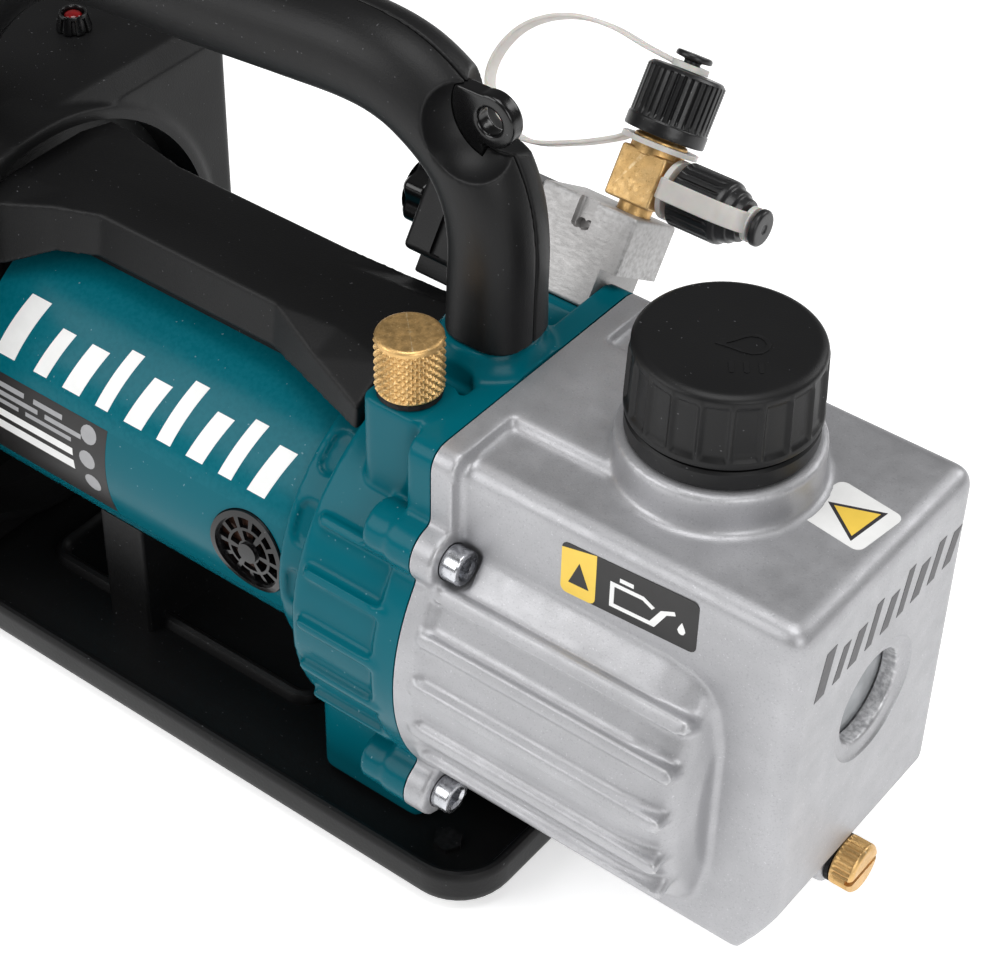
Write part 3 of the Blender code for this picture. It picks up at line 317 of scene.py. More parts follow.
# --- materials -----------------------------------------------------------------------------------
class Finish:
    """A Principled material whose colour, roughness and bump are built up in layers of noise."""

    def __init__(self, name, colour, roughness, metallic=0.0, level=0.5):
        self.mat = bpy.data.materials.new(name)
        self.mat.use_nodes = True
        self.tree = self.mat.node_tree
        self.shader = self.tree.nodes["Principled BSDF"]
        self.shader.inputs["Base Color"].default_value = (*colour, 1)
        self.shader.inputs["Roughness"].default_value = roughness
        self.shader.inputs["Metallic"].default_value = metallic
        self.shader.inputs["Specular IOR Level"].default_value = level
        self.name, self.colour, self.roughness = name, tuple(colour), roughness
        self.coords = self.tree.nodes.new("ShaderNodeTexCoord").outputs["Object"]
        self.colour_out = self.rough_out = self.normal_out = None

    def node(self, kind, **settings):
        node = self.tree.nodes.new(kind)
        for key, value in settings.items():
            setattr(node, key, value)
        return node

    def noise(self, size_mm, detail=3.0, stretch=(1, 1, 1), roughness=0.5):
        """Noise with features of about size_mm."""
        mapping = self.node("ShaderNodeMapping")
        mapping.inputs["Scale"].default_value = stretch
        self.tree.links.new(self.coords, mapping.inputs["Vector"])
        noise = self.node("ShaderNodeTexNoise")
        noise.inputs["Scale"].default_value = 1000 / size_mm
        noise.inputs["Detail"].default_value = detail
        noise.inputs["Roughness"].default_value = roughness
        self.tree.links.new(mapping.outputs[0], noise.inputs["Vector"])
        return noise.outputs["Fac"]

    def between(self, value, low, high, out_low=0.0, out_high=1.0):
        remap = self.node("ShaderNodeMapRange")
        for name, number in zip(("From Min", "From Max", "To Min", "To Max"),
                (low, high, out_low, out_high)):
            remap.inputs[name].default_value = number
        self.tree.links.new(value, remap.inputs["Value"])
        return remap.outputs["Result"]

    def times(self, a, b):
        product = self.node("ShaderNodeMath", operation="MULTIPLY")
        self.tree.links.new(a, product.inputs[0])
        self.tree.links.new(b, product.inputs[1])
        return product.outputs[0]

    def tint(self, mask, colour):
        """Blend the colour so far towards another where the mask is high."""
        mix = self.node("ShaderNodeMix", data_type="RGBA")
        self.tree.links.new(mask, mix.inputs["Factor"])
        if self.colour_out is None:
            mix.inputs[6].default_value = (*self.colour, 1)
        else:
            self.tree.links.new(self.colour_out, mix.inputs[6])
        mix.inputs[7].default_value = (*colour, 1)
        self.colour_out = mix.outputs[2]
        return self

    def mottle(self, size_mm, amount, low=0.35, high=0.65):
        """Broad light and dark clouds."""
        dark = [c * (1 - amount) for c in self.colour]
        return self.tint(self.between(self.noise(size_mm), low, high), dark)

    def flecks(self, size_mm, colour, start=0.68, end=0.74, detail=1.0, share=1.0):
        """Separate small specks of another colour."""
        return self.tint(self.between(self.noise(size_mm, detail), start, end, 0, share), colour)

    def edge_wear_and_highlight(self, colour, start=0.53, end=0.62, share=1.0):
        """Lighter along convex edges, broken up by noise: a painted edge highlight, with some
        wear.
        """
        edge = self.between(self.node("ShaderNodeNewGeometry").outputs["Pointiness"], start, end,
            0, share)
        return self.tint(self.times(edge, self.between(self.noise(1.4), 0.35, 0.6)), colour)

    # Darker in the concave hollows: painted shade where less light reaches.
    def painted_hollow_shade(self, colour, start=0.47, end=0.38):
        edge = self.between(self.node("ShaderNodeNewGeometry").outputs["Pointiness"], start, end)
        return self.tint(edge, colour)

    def uneven(self, size_mm, amount, stretch=(1, 1, 1)):
        """Roughness that varies over the surface."""
        self.rough_out = self.between(self.noise(size_mm, 4, stretch), 0.3, 0.7,
            max(self.roughness - amount, 0.02), self.roughness + amount)
        return self

    def grain(self, size_mm, depth_mm, strength=1.0, detail=2.0, stretch=(1, 1, 1)):
        """Fine bumps."""
        bump = self.node("ShaderNodeBump")
        bump.inputs["Strength"].default_value = strength
        bump.inputs["Distance"].default_value = depth_mm * MM
        self.tree.links.new(self.noise(size_mm, detail, stretch), bump.inputs["Height"])
        if self.normal_out is not None:
            self.tree.links.new(self.normal_out, bump.inputs["Normal"])
        self.normal_out = bump.outputs["Normal"]
        return self

    def set(self, **inputs):
        for name, value in inputs.items():
            self.shader.inputs[name.replace("_", " ")].default_value = value
        return self

    def done(self):
        for out, name in ((self.colour_out, "Base Color"), (self.rough_out, "Roughness"),
                (self.normal_out, "Normal")):
            if out is not None:
                self.tree.links.new(out, self.shader.inputs[name])
        return self.mat


def black(name, base=0.0065, roughness=0.5, level=0.26, size=0.55, depth=0.05):
    """Black plastic or paint with a moulded grain, dull patches, a little dust and pale edges,
    which are a painted highlight with some wear.
    """
    tone = (base, base, base * 1.06)
    return (Finish(name, tone, roughness, level=level).mottle(60, 0.25)
        # pale edges: painted highlight with some wear
        .edge_wear_and_highlight((base * 3.5, base * 3.5, base * 3.7), 0.54, 0.68, 0.7)
        .flecks(0.8, (0.10, 0.10, 0.105), 0.845, 0.87, 0.0, 0.8).uneven(24, 0.03)
        .grain(size, depth, 0.9))


def printed(name, colour, roughness, patch, amount, grain=(1.2, 0.01, 0.4)):
    """Label film or ink."""
    return Finish(name, colour, roughness, level=0.4).mottle(patch, amount).grain(*grain).done()


FINISHES = {finish.name: finish.done() for finish in (
    Finish("silver_casting", (0.43, 0.43, 0.445), 0.44, 0.6, 0.5).mottle(22, 0.09)
        .flecks(0.55, (0.31, 0.31, 0.325), 0.56, 0.72, 2.0, 0.6)
        # the hollows are darkened with painted shade
        .flecks(0.6, (0.66, 0.66, 0.68), 0.68, 0.78, 1.0, 0.5).painted_hollow_shade((0.3, 0.3, 0.31))
        # the edges are lightened with a painted highlight and a little wear
        .edge_wear_and_highlight((0.78, 0.78, 0.79), 0.525, 0.6, 0.75).uneven(6, 0.06).grain(0.42, 0.05, 0.9)
        .grain(7, 0.12, 0.5),
    Finish("teal_paint", (0.0, 0.108, 0.143), 0.24, 0.0, 0.12).mottle(70, 0.08)
        # lighter teal along the edges: painted highlight
        .edge_wear_and_highlight((0.03, 0.26, 0.33), 0.60, 0.72, 0.6).flecks(1.0, (0.16, 0.30, 0.34), 0.84, 0.87,
        0.0, 0.7).uneven(30, 0.03).grain(1.6, 0.02, 0.4).grain(0.3, 0.005, 0.5),
    Finish("zinc_steel", (0.62, 0.63, 0.66), 0.24, 1.0).mottle(5, 0.22)
        .flecks(0.8, (0.35, 0.36, 0.4), 0.62, 0.75).uneven(2, 0.08).grain(0.5, 0.02, 0.7),
    Finish("plain_steel", (0.5, 0.51, 0.53), 0.32, 1.0).mottle(8, 0.2).uneven(3, 0.08)
        .grain(0.4, 0.02, 0.7, stretch=(1, 1, 6)),
    Finish("brass", (0.74, 0.47, 0.19), 0.42, 0.85).mottle(4, 0.14)
        .flecks(0.6, (0.42, 0.24, 0.07), 0.60, 0.74, 2.0, 0.7)
        .flecks(0.4, (0.95, 0.74, 0.42), 0.66, 0.76, 1.0, 0.6)
        # the hollows are darkened with painted shade, the edges lightened with a painted highlight
        # and some wear
        .painted_hollow_shade((0.40, 0.22, 0.06), 0.48, 0.36).edge_wear_and_highlight((0.95, 0.76, 0.46), 0.53, 0.64, 0.8)
        .uneven(1.6, 0.1).grain(0.35, 0.045, 0.9),
    Finish("bare_aluminium", (0.42, 0.41, 0.405), 0.46, 0.45).mottle(14, 0.1)
        .flecks(0.6, (0.29, 0.285, 0.28), 0.60, 0.72, 2.0, 0.6)
        # the edges are lightened with a painted highlight and some wear
        .edge_wear_and_highlight((0.72, 0.72, 0.72), 0.54, 0.62, 0.9).uneven(3, 0.07, (1, 1, 5))
        .grain(0.45, 0.05, 0.9),
    Finish("cast_iron", (0.11, 0.11, 0.115), 0.5, 0.8).mottle(9, 0.3).uneven(4, 0.1)
        .grain(0.7, 0.08, 0.9),
    Finish("composite_vane", (0.05, 0.045, 0.04), 0.6).mottle(3, 0.3)
        .grain(0.5, 0.04, 0.8, stretch=(1, 8, 1)),
    # very dark windings: their own varnish colour, made darker still as painted shade seen through
    # the vent slots
    Finish("copper_winding", (0.09, 0.04, 0.025), 0.4, 0.6).mottle(3, 0.3)
        .grain(0.8, 0.25, 1.0, stretch=(0.2, 1, 1)),
    Finish("circuit_board", (0.015, 0.10, 0.04), 0.45).mottle(6, 0.3)
        .flecks(1.5, (0.5, 0.42, 0.2), 0.66, 0.70).grain(0.8, 0.05, 0.6),
    Finish("terminal_yellow", (0.55, 0.42, 0.05), 0.5).mottle(6, 0.15).grain(0.5, 0.03, 0.7),
    Finish("lens_red", (0.30, 0.006, 0.008), 0.12, 0.0, 0.6).mottle(1.5, 0.4)
        .set(Transmission_Weight=0.25, IOR=1.49).grain(0.8, 0.03, 0.4),
    Finish("clear_glass", (0.62, 0.64, 0.66), 0.14, 0.0, 0.6).mottle(9, 0.25).uneven(5, 0.08)
        .set(Transmission_Weight=0.35, IOR=1.5),
    Finish("clear_nylon", (0.83, 0.80, 0.76), 0.38, 0.0, 0.45).mottle(5, 0.08)
        .set(Transmission_Weight=0.25, IOR=1.46, Subsurface_Weight=0.3, Subsurface_Scale=0.002)
        .uneven(3, 0.08).grain(0.8, 0.03, 0.6),
    Finish("gasket_fibre", (0.012, 0.012, 0.012), 0.85, level=0.2).mottle(4, 0.4)
        .grain(0.5, 0.08, 0.9),
    black("black_rubber", 0.006, 0.72, 0.25, 0.8, 0.05),
    black("cap_plastic", 0.0065, 0.43, 0.28, 0.6, 0.035),
    black("moulded_black", 0.0065, 0.48, 0.26, 0.55, 0.055),
    black("gloss_black", 0.005, 0.20, 0.45, 0.9, 0.012),
    black("black_powder_coat", 0.0045, 0.42, 0.24, 1.0, 0.06),
)}
flare_black = black("flare_black", 0.010, 0.34, 0.45, 0.7, 0.03).done()
handle_black = black("handle_black", 0.0062, 0.46, 0.28, 0.42, 0.05).done()
label_black = printed("label_black", (0.016, 0.015, 0.015), 0.4, 5, 0.2)
label_yellow = printed("label_yellow", (0.88, 0.60, 0.085), 0.42, 6, 0.06)
label_white = printed("label_white", (0.86, 0.86, 0.85), 0.42, 6, 0.05)
label_grey = printed("label_grey", (0.36, 0.36, 0.37), 0.45, 4, 0.1)
print_dark = printed("print_dark", (0.045, 0.042, 0.048), 0.38, 2, 0.35, (0.6, 0.02, 0.6))


def settle(obj, node, slot, body="main", place=PUMP, angle=38, finish=None, others=(), name=None):
    """Name a finished piece, put it in the row frame, shade it, paint it and hang it on its body.

    node is the CAD node that the piece replaces, and None for a label. angle is the edge angle in
    degrees from which an edge is shaded sharp."""
    name = name or node + "_fine"
    obj.name = name
    obj.data.transform(place)
    if obj.data.materials:
        obj.data.materials.clear()
    for mat in (finish or FINISHES[slot], *others):
        obj.data.materials.append(mat)
    obj.data.polygons.foreach_set("use_smooth", [True] * len(obj.data.polygons))
    obj.data.set_sharp_from_angle(angle=math.radians(angle))
    if angle < FLAT_ANGLE:
        # flat faces stay flat beside their narrow rounded edges
        obj.modifiers.new("flat", "WEIGHTED_NORMAL").keep_sharp = True
        bake(obj)
    obj.data.name = name
    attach(obj, body)
    if node:
        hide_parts(node)
    return obj


# --- oil case ------------------------------------------------------------------------------------
CASE_VOXEL = 0.92
RIB_ANGLES = (56.5, 69.5, 84.0, 99.0, 112.0)
BELL_RIBS = (54.5, 69.5, 85.0, 100.5, 116.0)


def at_screws(radius, low, high, steps=64, bevel=0.0):
    return [drum(radius, low, high, (0, y, z), steps=steps, bevel=bevel) for y, z in SCREWS]


def holes(radius, low, high):
    return at_screws(radius, low, high, 32)


def joint_plate(low, high, inset=0.0):
    """The outline of the joint between case and flange, as overlapping solids."""
    return [slab(rounded((inset - 46, 46 - inset), (40, 153 - inset), 6), low, high, "X"),
        drum(62.3 - inset, low, high, AXIS, steps=160)] + at_screws(8.5 - inset, low, high)




def ribs(angles, x, radii, width):
    made = []
    for sign in (1, -1):
        for angle in angles:
            bar = slab(rounded(x, (-width / 2, width / 2), width * 0.45, 4), *radii)
            made.append(spun(moved(bar, Matrix.Translation(AXIS)), sign * angle))
    return made


def make_oil_case():
    body = block((-122, 0), (-CASE_SIDE, CASE_SIDE), (27, CASE_TOP), 5.5, 5)
    carve(body, tilted(block((-30, 30), (-60, 60), (-30, 0)), (0, 0, 44), -60))
    bulge = lathe([(0, -20), (49, -20), (56, -22.6), (58.4, -25), (59.8, -29), (60.7, -37),
        (60.7, -118), (0, -118)], AXIS, "X", 180)
    neck = lathe([(0, 161.9), (26.8, 161.9), (27.5, 161), (27.3, 153), (27.6, 151), (28.6, 149.8),
        (28.6, 146), (0, 146)], (CAP_X, 0, 0), steps=128)
    pad = block((-118, CAP_X), (-21, 21), (140, 153), 1.2, 2)
    case = cast([body, bulge, neck, pad] + joint_plate(-118, -103.5)
        + ribs(RIB_ANGLES, (-105, -23), (56, 63.7), 4.5) + at_screws(8.5, -118, -103.4)
        + [drum(8.9, -16, -2.9, DRAIN)], CASE_VOXEL, 0)
    carve(case, *at_screws(6.2, -103.6, -96.2, bevel=1.6))
    cast(case, CASE_VOXEL, 4)
    room = block((-115, -4.5), (-37.8, 37.8), (34, 145.5))
    carve(case, block((-170, CASE_BACK), (-90, 90), (0, 200)), room,
        drum(54.5, -115, -28, AXIS, steps=96))
    seat = lathe([(12, -3), (18.5, -3), (18.5, -14), (12, -14)], SIGHT, "X", 96, closed=True)
    weld(case, seat)
    recess = lathe([(0, 3), (18.9, 3), (18.9, 0.4), (18.3, -0.5), (17.4, -1.0), (15.4, -1.2),
        (14.3, -1.5), (14.0, -2.2), (14.0, -12), (0, -12)], SIGHT, "X", 96)
    carve(case, recess, drum(16, -20, -6, SIGHT, steps=96))
    carve(case, drum(20, 140, 170, (CAP_X, 0, 0), "Z", 96), drum(8.7, -3, 9, DRAIN),
        drum(5, -30, 3, DRAIN))
    carve(case, *holes(SCREW_HOLE_R, -119, -101), *holes(5.5, -104.2, -97))
    return settle(case, "oil_case", "silver_casting", angle=55, name="oil_case_casting")


def make_gasket():
    gasket = joint_plate(*GASKET, 0.5)
    first = weld(gasket[0], *gasket[1:])
    carve(first, drum(50, -130, -100, AXIS, steps=96), *holes(SCREW_HOLE_R, -130, -100))
    settle(first, "case_gasket", "gasket_fibre", name="case_gasket_sheet")


def make_case_screws():
    names = ("case_screw_top_near", "case_screw_bottom_near", "case_screw_top_far",
        "case_screw_bottom_far")
    for name, (y, z) in zip(names, SCREWS):
        screw = lathe(soft([(0, -98), (5.15, -98), (5.15, -103.9), (2.85, -103.9), (2.85, -123.5),
            (0, -123.5)], 0.7), (0, y, z), "X", 64)
        carve(screw, drum(2.9, -101.2, -96, (0, y, z), steps=6),
            lathe([(0, -97), (3.6, -97), (3.6, -97.99), (2.6, -98.7), (0, -98.7)], (0, y, z), "X",
            32))
        settle(screw, name, "zinc_steel", angle=25)


# --- fittings of the case ------------------------------------------------------------------------
def make_case_fittings():
    glass = lathe(soft([(0, -6.5), (12, -6.6), (15.7, -6.8), (15.7, -10), (0, -10)], 0.5), SIGHT,
        "X", 96)
    settle(glass, "sight_glass", "clear_glass", name="sight_window")

    collar = [(19.6, 181), (19.6, 168.4), (24.4, 168.1), (25.1, 167.4), (25.1, 163.6),
        (24.7, 162.5), (22, 162.2), (19.6, 162.2), (19.6, 122), (5, 122), (5, 125), (16.5, 125),
        (16.5, 181)]
    settle(lathe(collar, (CAP_X, 0, 0), steps=128, closed=True), "oil_mist_filter", "cap_plastic",
        name="filler_neck")

    def flutes(a, r, h):
        if r < 23 or not 171.5 < h < 188.6:
            return 0
        ease = min(1, (188.6 - h) / 1.6, (h - 171.5) / 1.0)
        wave = max(0, math.cos(a * 20)) ** 6
        return (1.1 * wave - 1.0) * ease

    cap = lathe(fine(soft([(0, 190.7), (8, 190.75), (16, 190.85), (22.6, 191), (24.4, 190.1),
        (24.9, 187.5), (25.5, 171.4), (25.5, 169.3), (20.2, 169.3), (20.2, 182.9), (0, 182.9)],
        0.8), 1.2), (CAP_X, 0, 0), steps=480, ripple=flutes)
    drop = [(0, 7.2), (1.6, 3.8), (3.4, 0.6), (4.2, -1.8), (3.7, -4.4), (2.0, -6.2), (0, -6.8),
        (-2.0, -6.2), (-3.7, -4.4), (-4.2, -1.8), (-3.4, 0.6), (-1.6, 3.8)]
    inner = [(u * 0.72, v * 0.72 - 0.6) for u, v in drop]
    emblem = slab(drop, 190.2, 190.98)
    carve(emblem, slab(inner, 190.0, 192))
    bars = [slab(rounded((-11.5, -7.0), (-1.0 + s, 0.3 + s), 0.6), 190.2, 190.98)
        for s in (-3.5, 0.2, 3.9)]
    weld(cap, tilted(join([emblem] + bars), (CAP_X + 4, 0, 0), 126, "Z"))
    settle(cap, "oil_cap", "cap_plastic", body="oil_cap_turn", angle=30, name="oil_filler_cap")

    def knurl(pitch_count, slope, depth, low, high):
        def ripple(a, r, h):
            if not low <= h <= high:
                return 0
            one = abs((a * pitch_count / TAU + h * slope) % 1 - 0.5) * 2
            two = abs((a * pitch_count / TAU - h * slope) % 1 - 0.5) * 2
            return depth * (min(one, two) * 2 - 1)
        return ripple

    knob = lathe(fine(soft([(0, 173.5), (8.5, 173.5), (9.2, 172.9), (9.2, 156.2), (4, 156.2),
        (4, 140), (0, 140)], 0.5), 0.34), BALLAST, steps=264,
        ripple=knurl(26, 0.42, 0.42, 157.0, 171.6))
    settle(knob, "ballast_knob", "brass", body="ballast_turn", angle=30)

    def teeth(a, r, h):
        return -0.45 * (abs((a * 30 / TAU) % 1 - 0.5) * 2) if r > 7 and -0.4 < h < 4.8 else 0

    plug = lathe(fine(soft([(0, 6), (6.6, 6), (7.5, 5.1), (7.5, -1.2), (4.7, -1.2), (4.7, -15),
        (0, -15)], 0.5), 0.8), DRAIN, "X", steps=240, ripple=teeth)
    carve(plug, block((4.0, 8), (-9, 9), (33.1, 34.9)))
    settle(plug, "drain_plug", "brass", body="drain_turn", angle=30)


# --- flange --------------------------------------------------------------------------------------
FLANGE_VOXEL = 0.8


def make_flange():
    lean_pad = moved(block((-147, -113.2), (-14, 14.5), (50, 75.7), 2, 3), LEAN_LOCAL)
    tower = slab(rounded((-139.5, -119.5), (-39.9, -21.1), 3.4), 105, 154, bevel=0.6)
    boss = lathe([(0, 159.6), (13.0, 159.6), (13.8, 158.8), (14.8, 156), (17.4, 153.2),
        (17.4, 146), (0, 146)], (-126.5, 0, 0), steps=96)
    carve(boss, block((-111.4, -90), (-30, 30), (140, 170)))
    solids = joint_plate(-119, -105) + [lathe(soft([(0, -114), (60, -114), (60, -149.5),
        (0, -149.5)], 1.6), AXIS, "X", 180), drum(50, -163, -144, AXIS, steps=180, bevel=0.9),
        block((-153, -116), (-45, 45), (6.9, 50), 3),
        block((-142, -108), (-17, 17), (125, 152.9), 3), boss, tower, lean_pad]
    solids += ribs(BELL_RIBS, (-145.5, -117), (52, 62.9), 3.2)
    solids += at_screws(7.9, -128, -112, bevel=1.4)
    flange = cast(solids, FLANGE_VOXEL, 0)
    cutters = []
    for degrees in range(-100, 101, 25):
        pocket = slab(rounded((-160.0, -152.4), (-6.6, 6.6), 3.6), 48.4, 55)
        cutters.append(spun(moved(pocket, Matrix.Translation(AXIS)), degrees + 12.5))
    cutters.append(block((-139.5, -120.5), (-20.5, -15.0), (148.4, 156), 1.2))
    carve(flange, *cutters)
    cast(flange, FLANGE_VOXEL, 5)
    carve(flange, block((FLANGE_FRONT, -80), (-90, 90), (0, 200)),
        drum(TUBE_SEAT_R, -170, -155.7, AXIS, steps=128), drum(43, -170, -130, AXIS, steps=96),
        drum(16.3, -135, -119.7, AXIS), drum(13.3, -118.5, -105, AXIS), drum(9, -140, -100, AXIS),
        drum(4.3, 136, 165, BALLAST, "Z"), block((-157, -122), (-39, 39), (-5, 22)),
        *holes(SCREW_HOLE_R, -124, -105))
    settle(flange, "pump_flange", "teal_paint", angle=55, name="pump_flange_casting")


# --- motor barrel --------------------------------------------------------------------------------
VENT = (-177.8, 0, 79.7)


def sleeve(radius, front, back):
    """A ring about the pump axis, down to the barrel's inside."""
    inside = 44
    return lathe([(radius, front), (radius, back), (inside, back), (inside, front)], AXIS, "X",
        192, closed=True)


def make_barrel():
    shell = sleeve(TUBE_R, -156, -290)
    carve(shell, drum(14, -60, -30, VENT, "Y"))
    settle(shell, "motor_tube", "teal_paint", name="motor_barrel")

    grille = sleeve(45.3, -162, -194)
    rim = sleeve(46.6, -162, -194)
    carve(rim, drum(11.9, -60, -30, VENT, "Y", 96))
    hub = sleeve(46.3, -162, -194)
    boolean(hub, [drum(3.3, -60, -30, VENT, "Y", 48)], "INTERSECT")
    weld(grille, rim, hub)
    boolean(grille, [drum(13.7, -60, -30, VENT, "Y", 96)], "INTERSECT")
    slots = []
    for inner, outer, count, share in ((3.9, 7.0, 6, 0.74), (7.9, 11.3, 12, 0.72)):
        for i in range(count):
            mid, half = TAU * (i + 0.5) / count, TAU / count * share / 2
            arc = [mid - half + 2 * half * k / 6 for k in range(7)]
            corners = [(VENT[2] + outer * math.sin(a), VENT[0] + outer * math.cos(a)) for a in arc]
            corners += [(VENT[2] + inner * math.sin(a), VENT[0] + inner * math.cos(a))
                for a in reversed(arc)]
            slots.append(slab(corners, -60, -30, "Y"))
    carve(grille, join(slots))
    settle(grille, "vent_grille", "gloss_black", angle=25)


def make_shroud():
    stations = ((-297.0, 29.0, 139.0, 142.5, 31.0, 118.0),
        (-288.0, 26.0, 141.5, 144.8, 28.5, 121.0), (-272.0, 20.5, 144.5, 146.2, 22.5, 129.5),
        (-257.0, 16.5, 146.2, 146.8, 18.5, 132.0), (-190.0, 16.5, 146.2, 146.8, 18.5, 132.0),
        (-170.0, 23.0, 141.0, 145.5, 24.0, 130.5), (-149.8, 29.0, 136.5, 144.5, 29.5, 129.0))
    sections = []
    for x, crease, crease_z, crown_z, skirt, skirt_z in stations:
        sections.append([(x, -skirt, skirt_z), (x, -crease, crease_z),
            (x, -crease * 0.55, crown_z - 0.4), (x, 0, crown_z),
            (x, crease * 0.55, crown_z - 0.4), (x, crease, crease_z), (x, skirt, skirt_z)])
    shroud = cast([skin(sections), block((-297, -165), (-11.5, 11.5), (118, 140))], 0.7, 7)
    carve(shroud, block((-300, -168), (-8.5, 8.5), (110, 138)),
        drum(TUBE_SEAT_R, -310, -163.3, AXIS, steps=128),
        drum(50.3, -163.6, -140, AXIS, steps=128))
    settle(shroud, "motor_shroud", "moulded_black", angle=50)


# --- rear housing --------------------------------------------------------------------------------
def make_rear_housing():
    body = block((-362, -298), (-82, 82), (18, 150), 2.5, 3)
    carve(body, tilted(block((-9, 9), (-90, 90), (0, 20)), (-301, 0, 147), 45))
    ears = [block((-369.6, -356), y, (138.2, 147.5), 1, 2) for y in ((-44, -34), (34, 44))]
    housing = cast([body, block((-342, -300), (-50, 50), (6.9, 30), 2), *ears,
        lathe(soft([(0, -296.5), (71.5, -296.5), (71.5, -316), (0, -316)], 1.2), AXIS, "X", 180)],
        1.1, 3)
    carve(housing, drum(67.5, -312, -290, AXIS, steps=128),
        block((-312, -290), (-67.5, 67.5), (24, 79)),
        block((-367, -317), (-72, 72), (58, 137), 3), block((-358, -305), (-62, 62), (24, 52)))
    weld(housing, drum(18, -321, -306, AXIS))
    carve(housing, drum(13.3, -315, -300, AXIS), drum(7, -318.5, -300, AXIS),
        drum(2.4, -50, 50, LID_HINGE, "Y"), block((-341, -319), (-58.3, -41.7), (130, 155)),
        drum(3.2, 130, 160, LAMP, "Z"))
    slots = [block((-310, -302), (min(s * 60, s * 95), max(s * 60, s * 95)),
        (96 + 14 * i, 101 + 14 * i), 1.2) for i in range(3) for s in (-1, 1)]
    carve(housing, *slots)
    settle(housing, "rear_housing", "moulded_black", angle=50, name="rear_housing_shell")

    cover = block((-373.7, -362.3), (-78, 78), (50, 136), 4, 4)
    weld(cover, block((-369, -363), (-33, 33), (130, 142)),
        drum(3.8, -33.6, 33.6, LID_HINGE, "Y", 48), drum(2.0, -42, 42, LID_HINGE, "Y", 32))
    carve(cover, block((-370.7, -357), (-71, 71), (60, 128), 1),
        block((-379, -371.5), (-14.3, 14.3), (63.7, 88.3)))
    ribs_out = [block((-375, -373.0), (-60, 60), (z - 0.8, z + 0.8)) for z in (98, 106, 114)]
    carve(cover, *ribs_out)
    settle(cover, "battery_cover", "moulded_black", body="battery_door", angle=30)

    latch = block((-373.9, -371.8), (-14, 14), (64, 82), 0.6, 3)
    weld(latch, *[block((-374.9, -372.7), (-9, 9), (68 + 4 * i, 69.6 + 4 * i), 0.4, 2)
        for i in range(3)])
    settle(latch, "cover_latch", "moulded_black", body="door_latch", angle=30)

    rocker = drum(9.8, -58, -42, (-330, 0, 145.5), "Y", 96, 0.7)
    boolean(rocker, [block((-341, -319), (-60, -40), (142, 152.6), 0.6)], "INTERSECT")
    mark = lathe([(2.6, 152.9), (2.6, 151.4), (2.0, 151.4), (2.0, 152.9)], (-326, -50, 0),
        steps=32, closed=True)
    carve(rocker, mark)
    settle(rocker, "power_rocker", "moulded_black", body="rocker", angle=30)

    def slots_in(a, r, h):
        return -0.7 if r > 4.6 and h < 154.6 and math.cos(a * 8) > 0.55 else 0

    bezel = lathe(fine(soft([(3.4, 155.3), (3.8, 156.2), (4.3, 156.2), (5.8, 150.5), (5.4, 150.3),
        (3.4, 150.3)], 0.3), 0.8), LAMP, steps=128, ripple=slots_in, closed=True)
    settle(bezel, "led_bezel", "gloss_black", angle=30)
    lens = lathe([(0, 155.9), (1.0, 155.85), (2.0, 155.6), (2.7, 155.1), (3.0, 154.4), (3.0, 141),
        (0, 141)], LAMP, steps=64)
    settle(lens, "led_lens", "lens_red")


# --- handle --------------------------------------------------------------------------------------
HANDLE_VOXEL = 0.6
HANDLE_ROUTE = ((-125, 0, 159.9), (-125, 0, 172), (-125, 0, 188), (-127.5, 0, 201),
    (-133.5, 0, 211.5), (-143, 0, 220), (-155, 0, 226), (-170, 0, 227.8), (-192, 0, 226.3),
    (-218, 0, 224), (-242, 0, 222), (-264, 0, 220), (-284, 0, 215.5), (-302, 0, 205),
    (-318, 0, 189), (-330, 0, 173), (-338, 0, 157), (-341.5, 0, 145))
HANDLE_RADII = (12.4, 12.4, 12.5, 12.8, 13.1, 13.4, 13.7, 13.8, 13.8, 13.8, 13.8, 13.8, 13.6,
    13.3, 13.0, 13.0, 13.0, 13.0)
LUG = (-127.0, 0, 224.0)


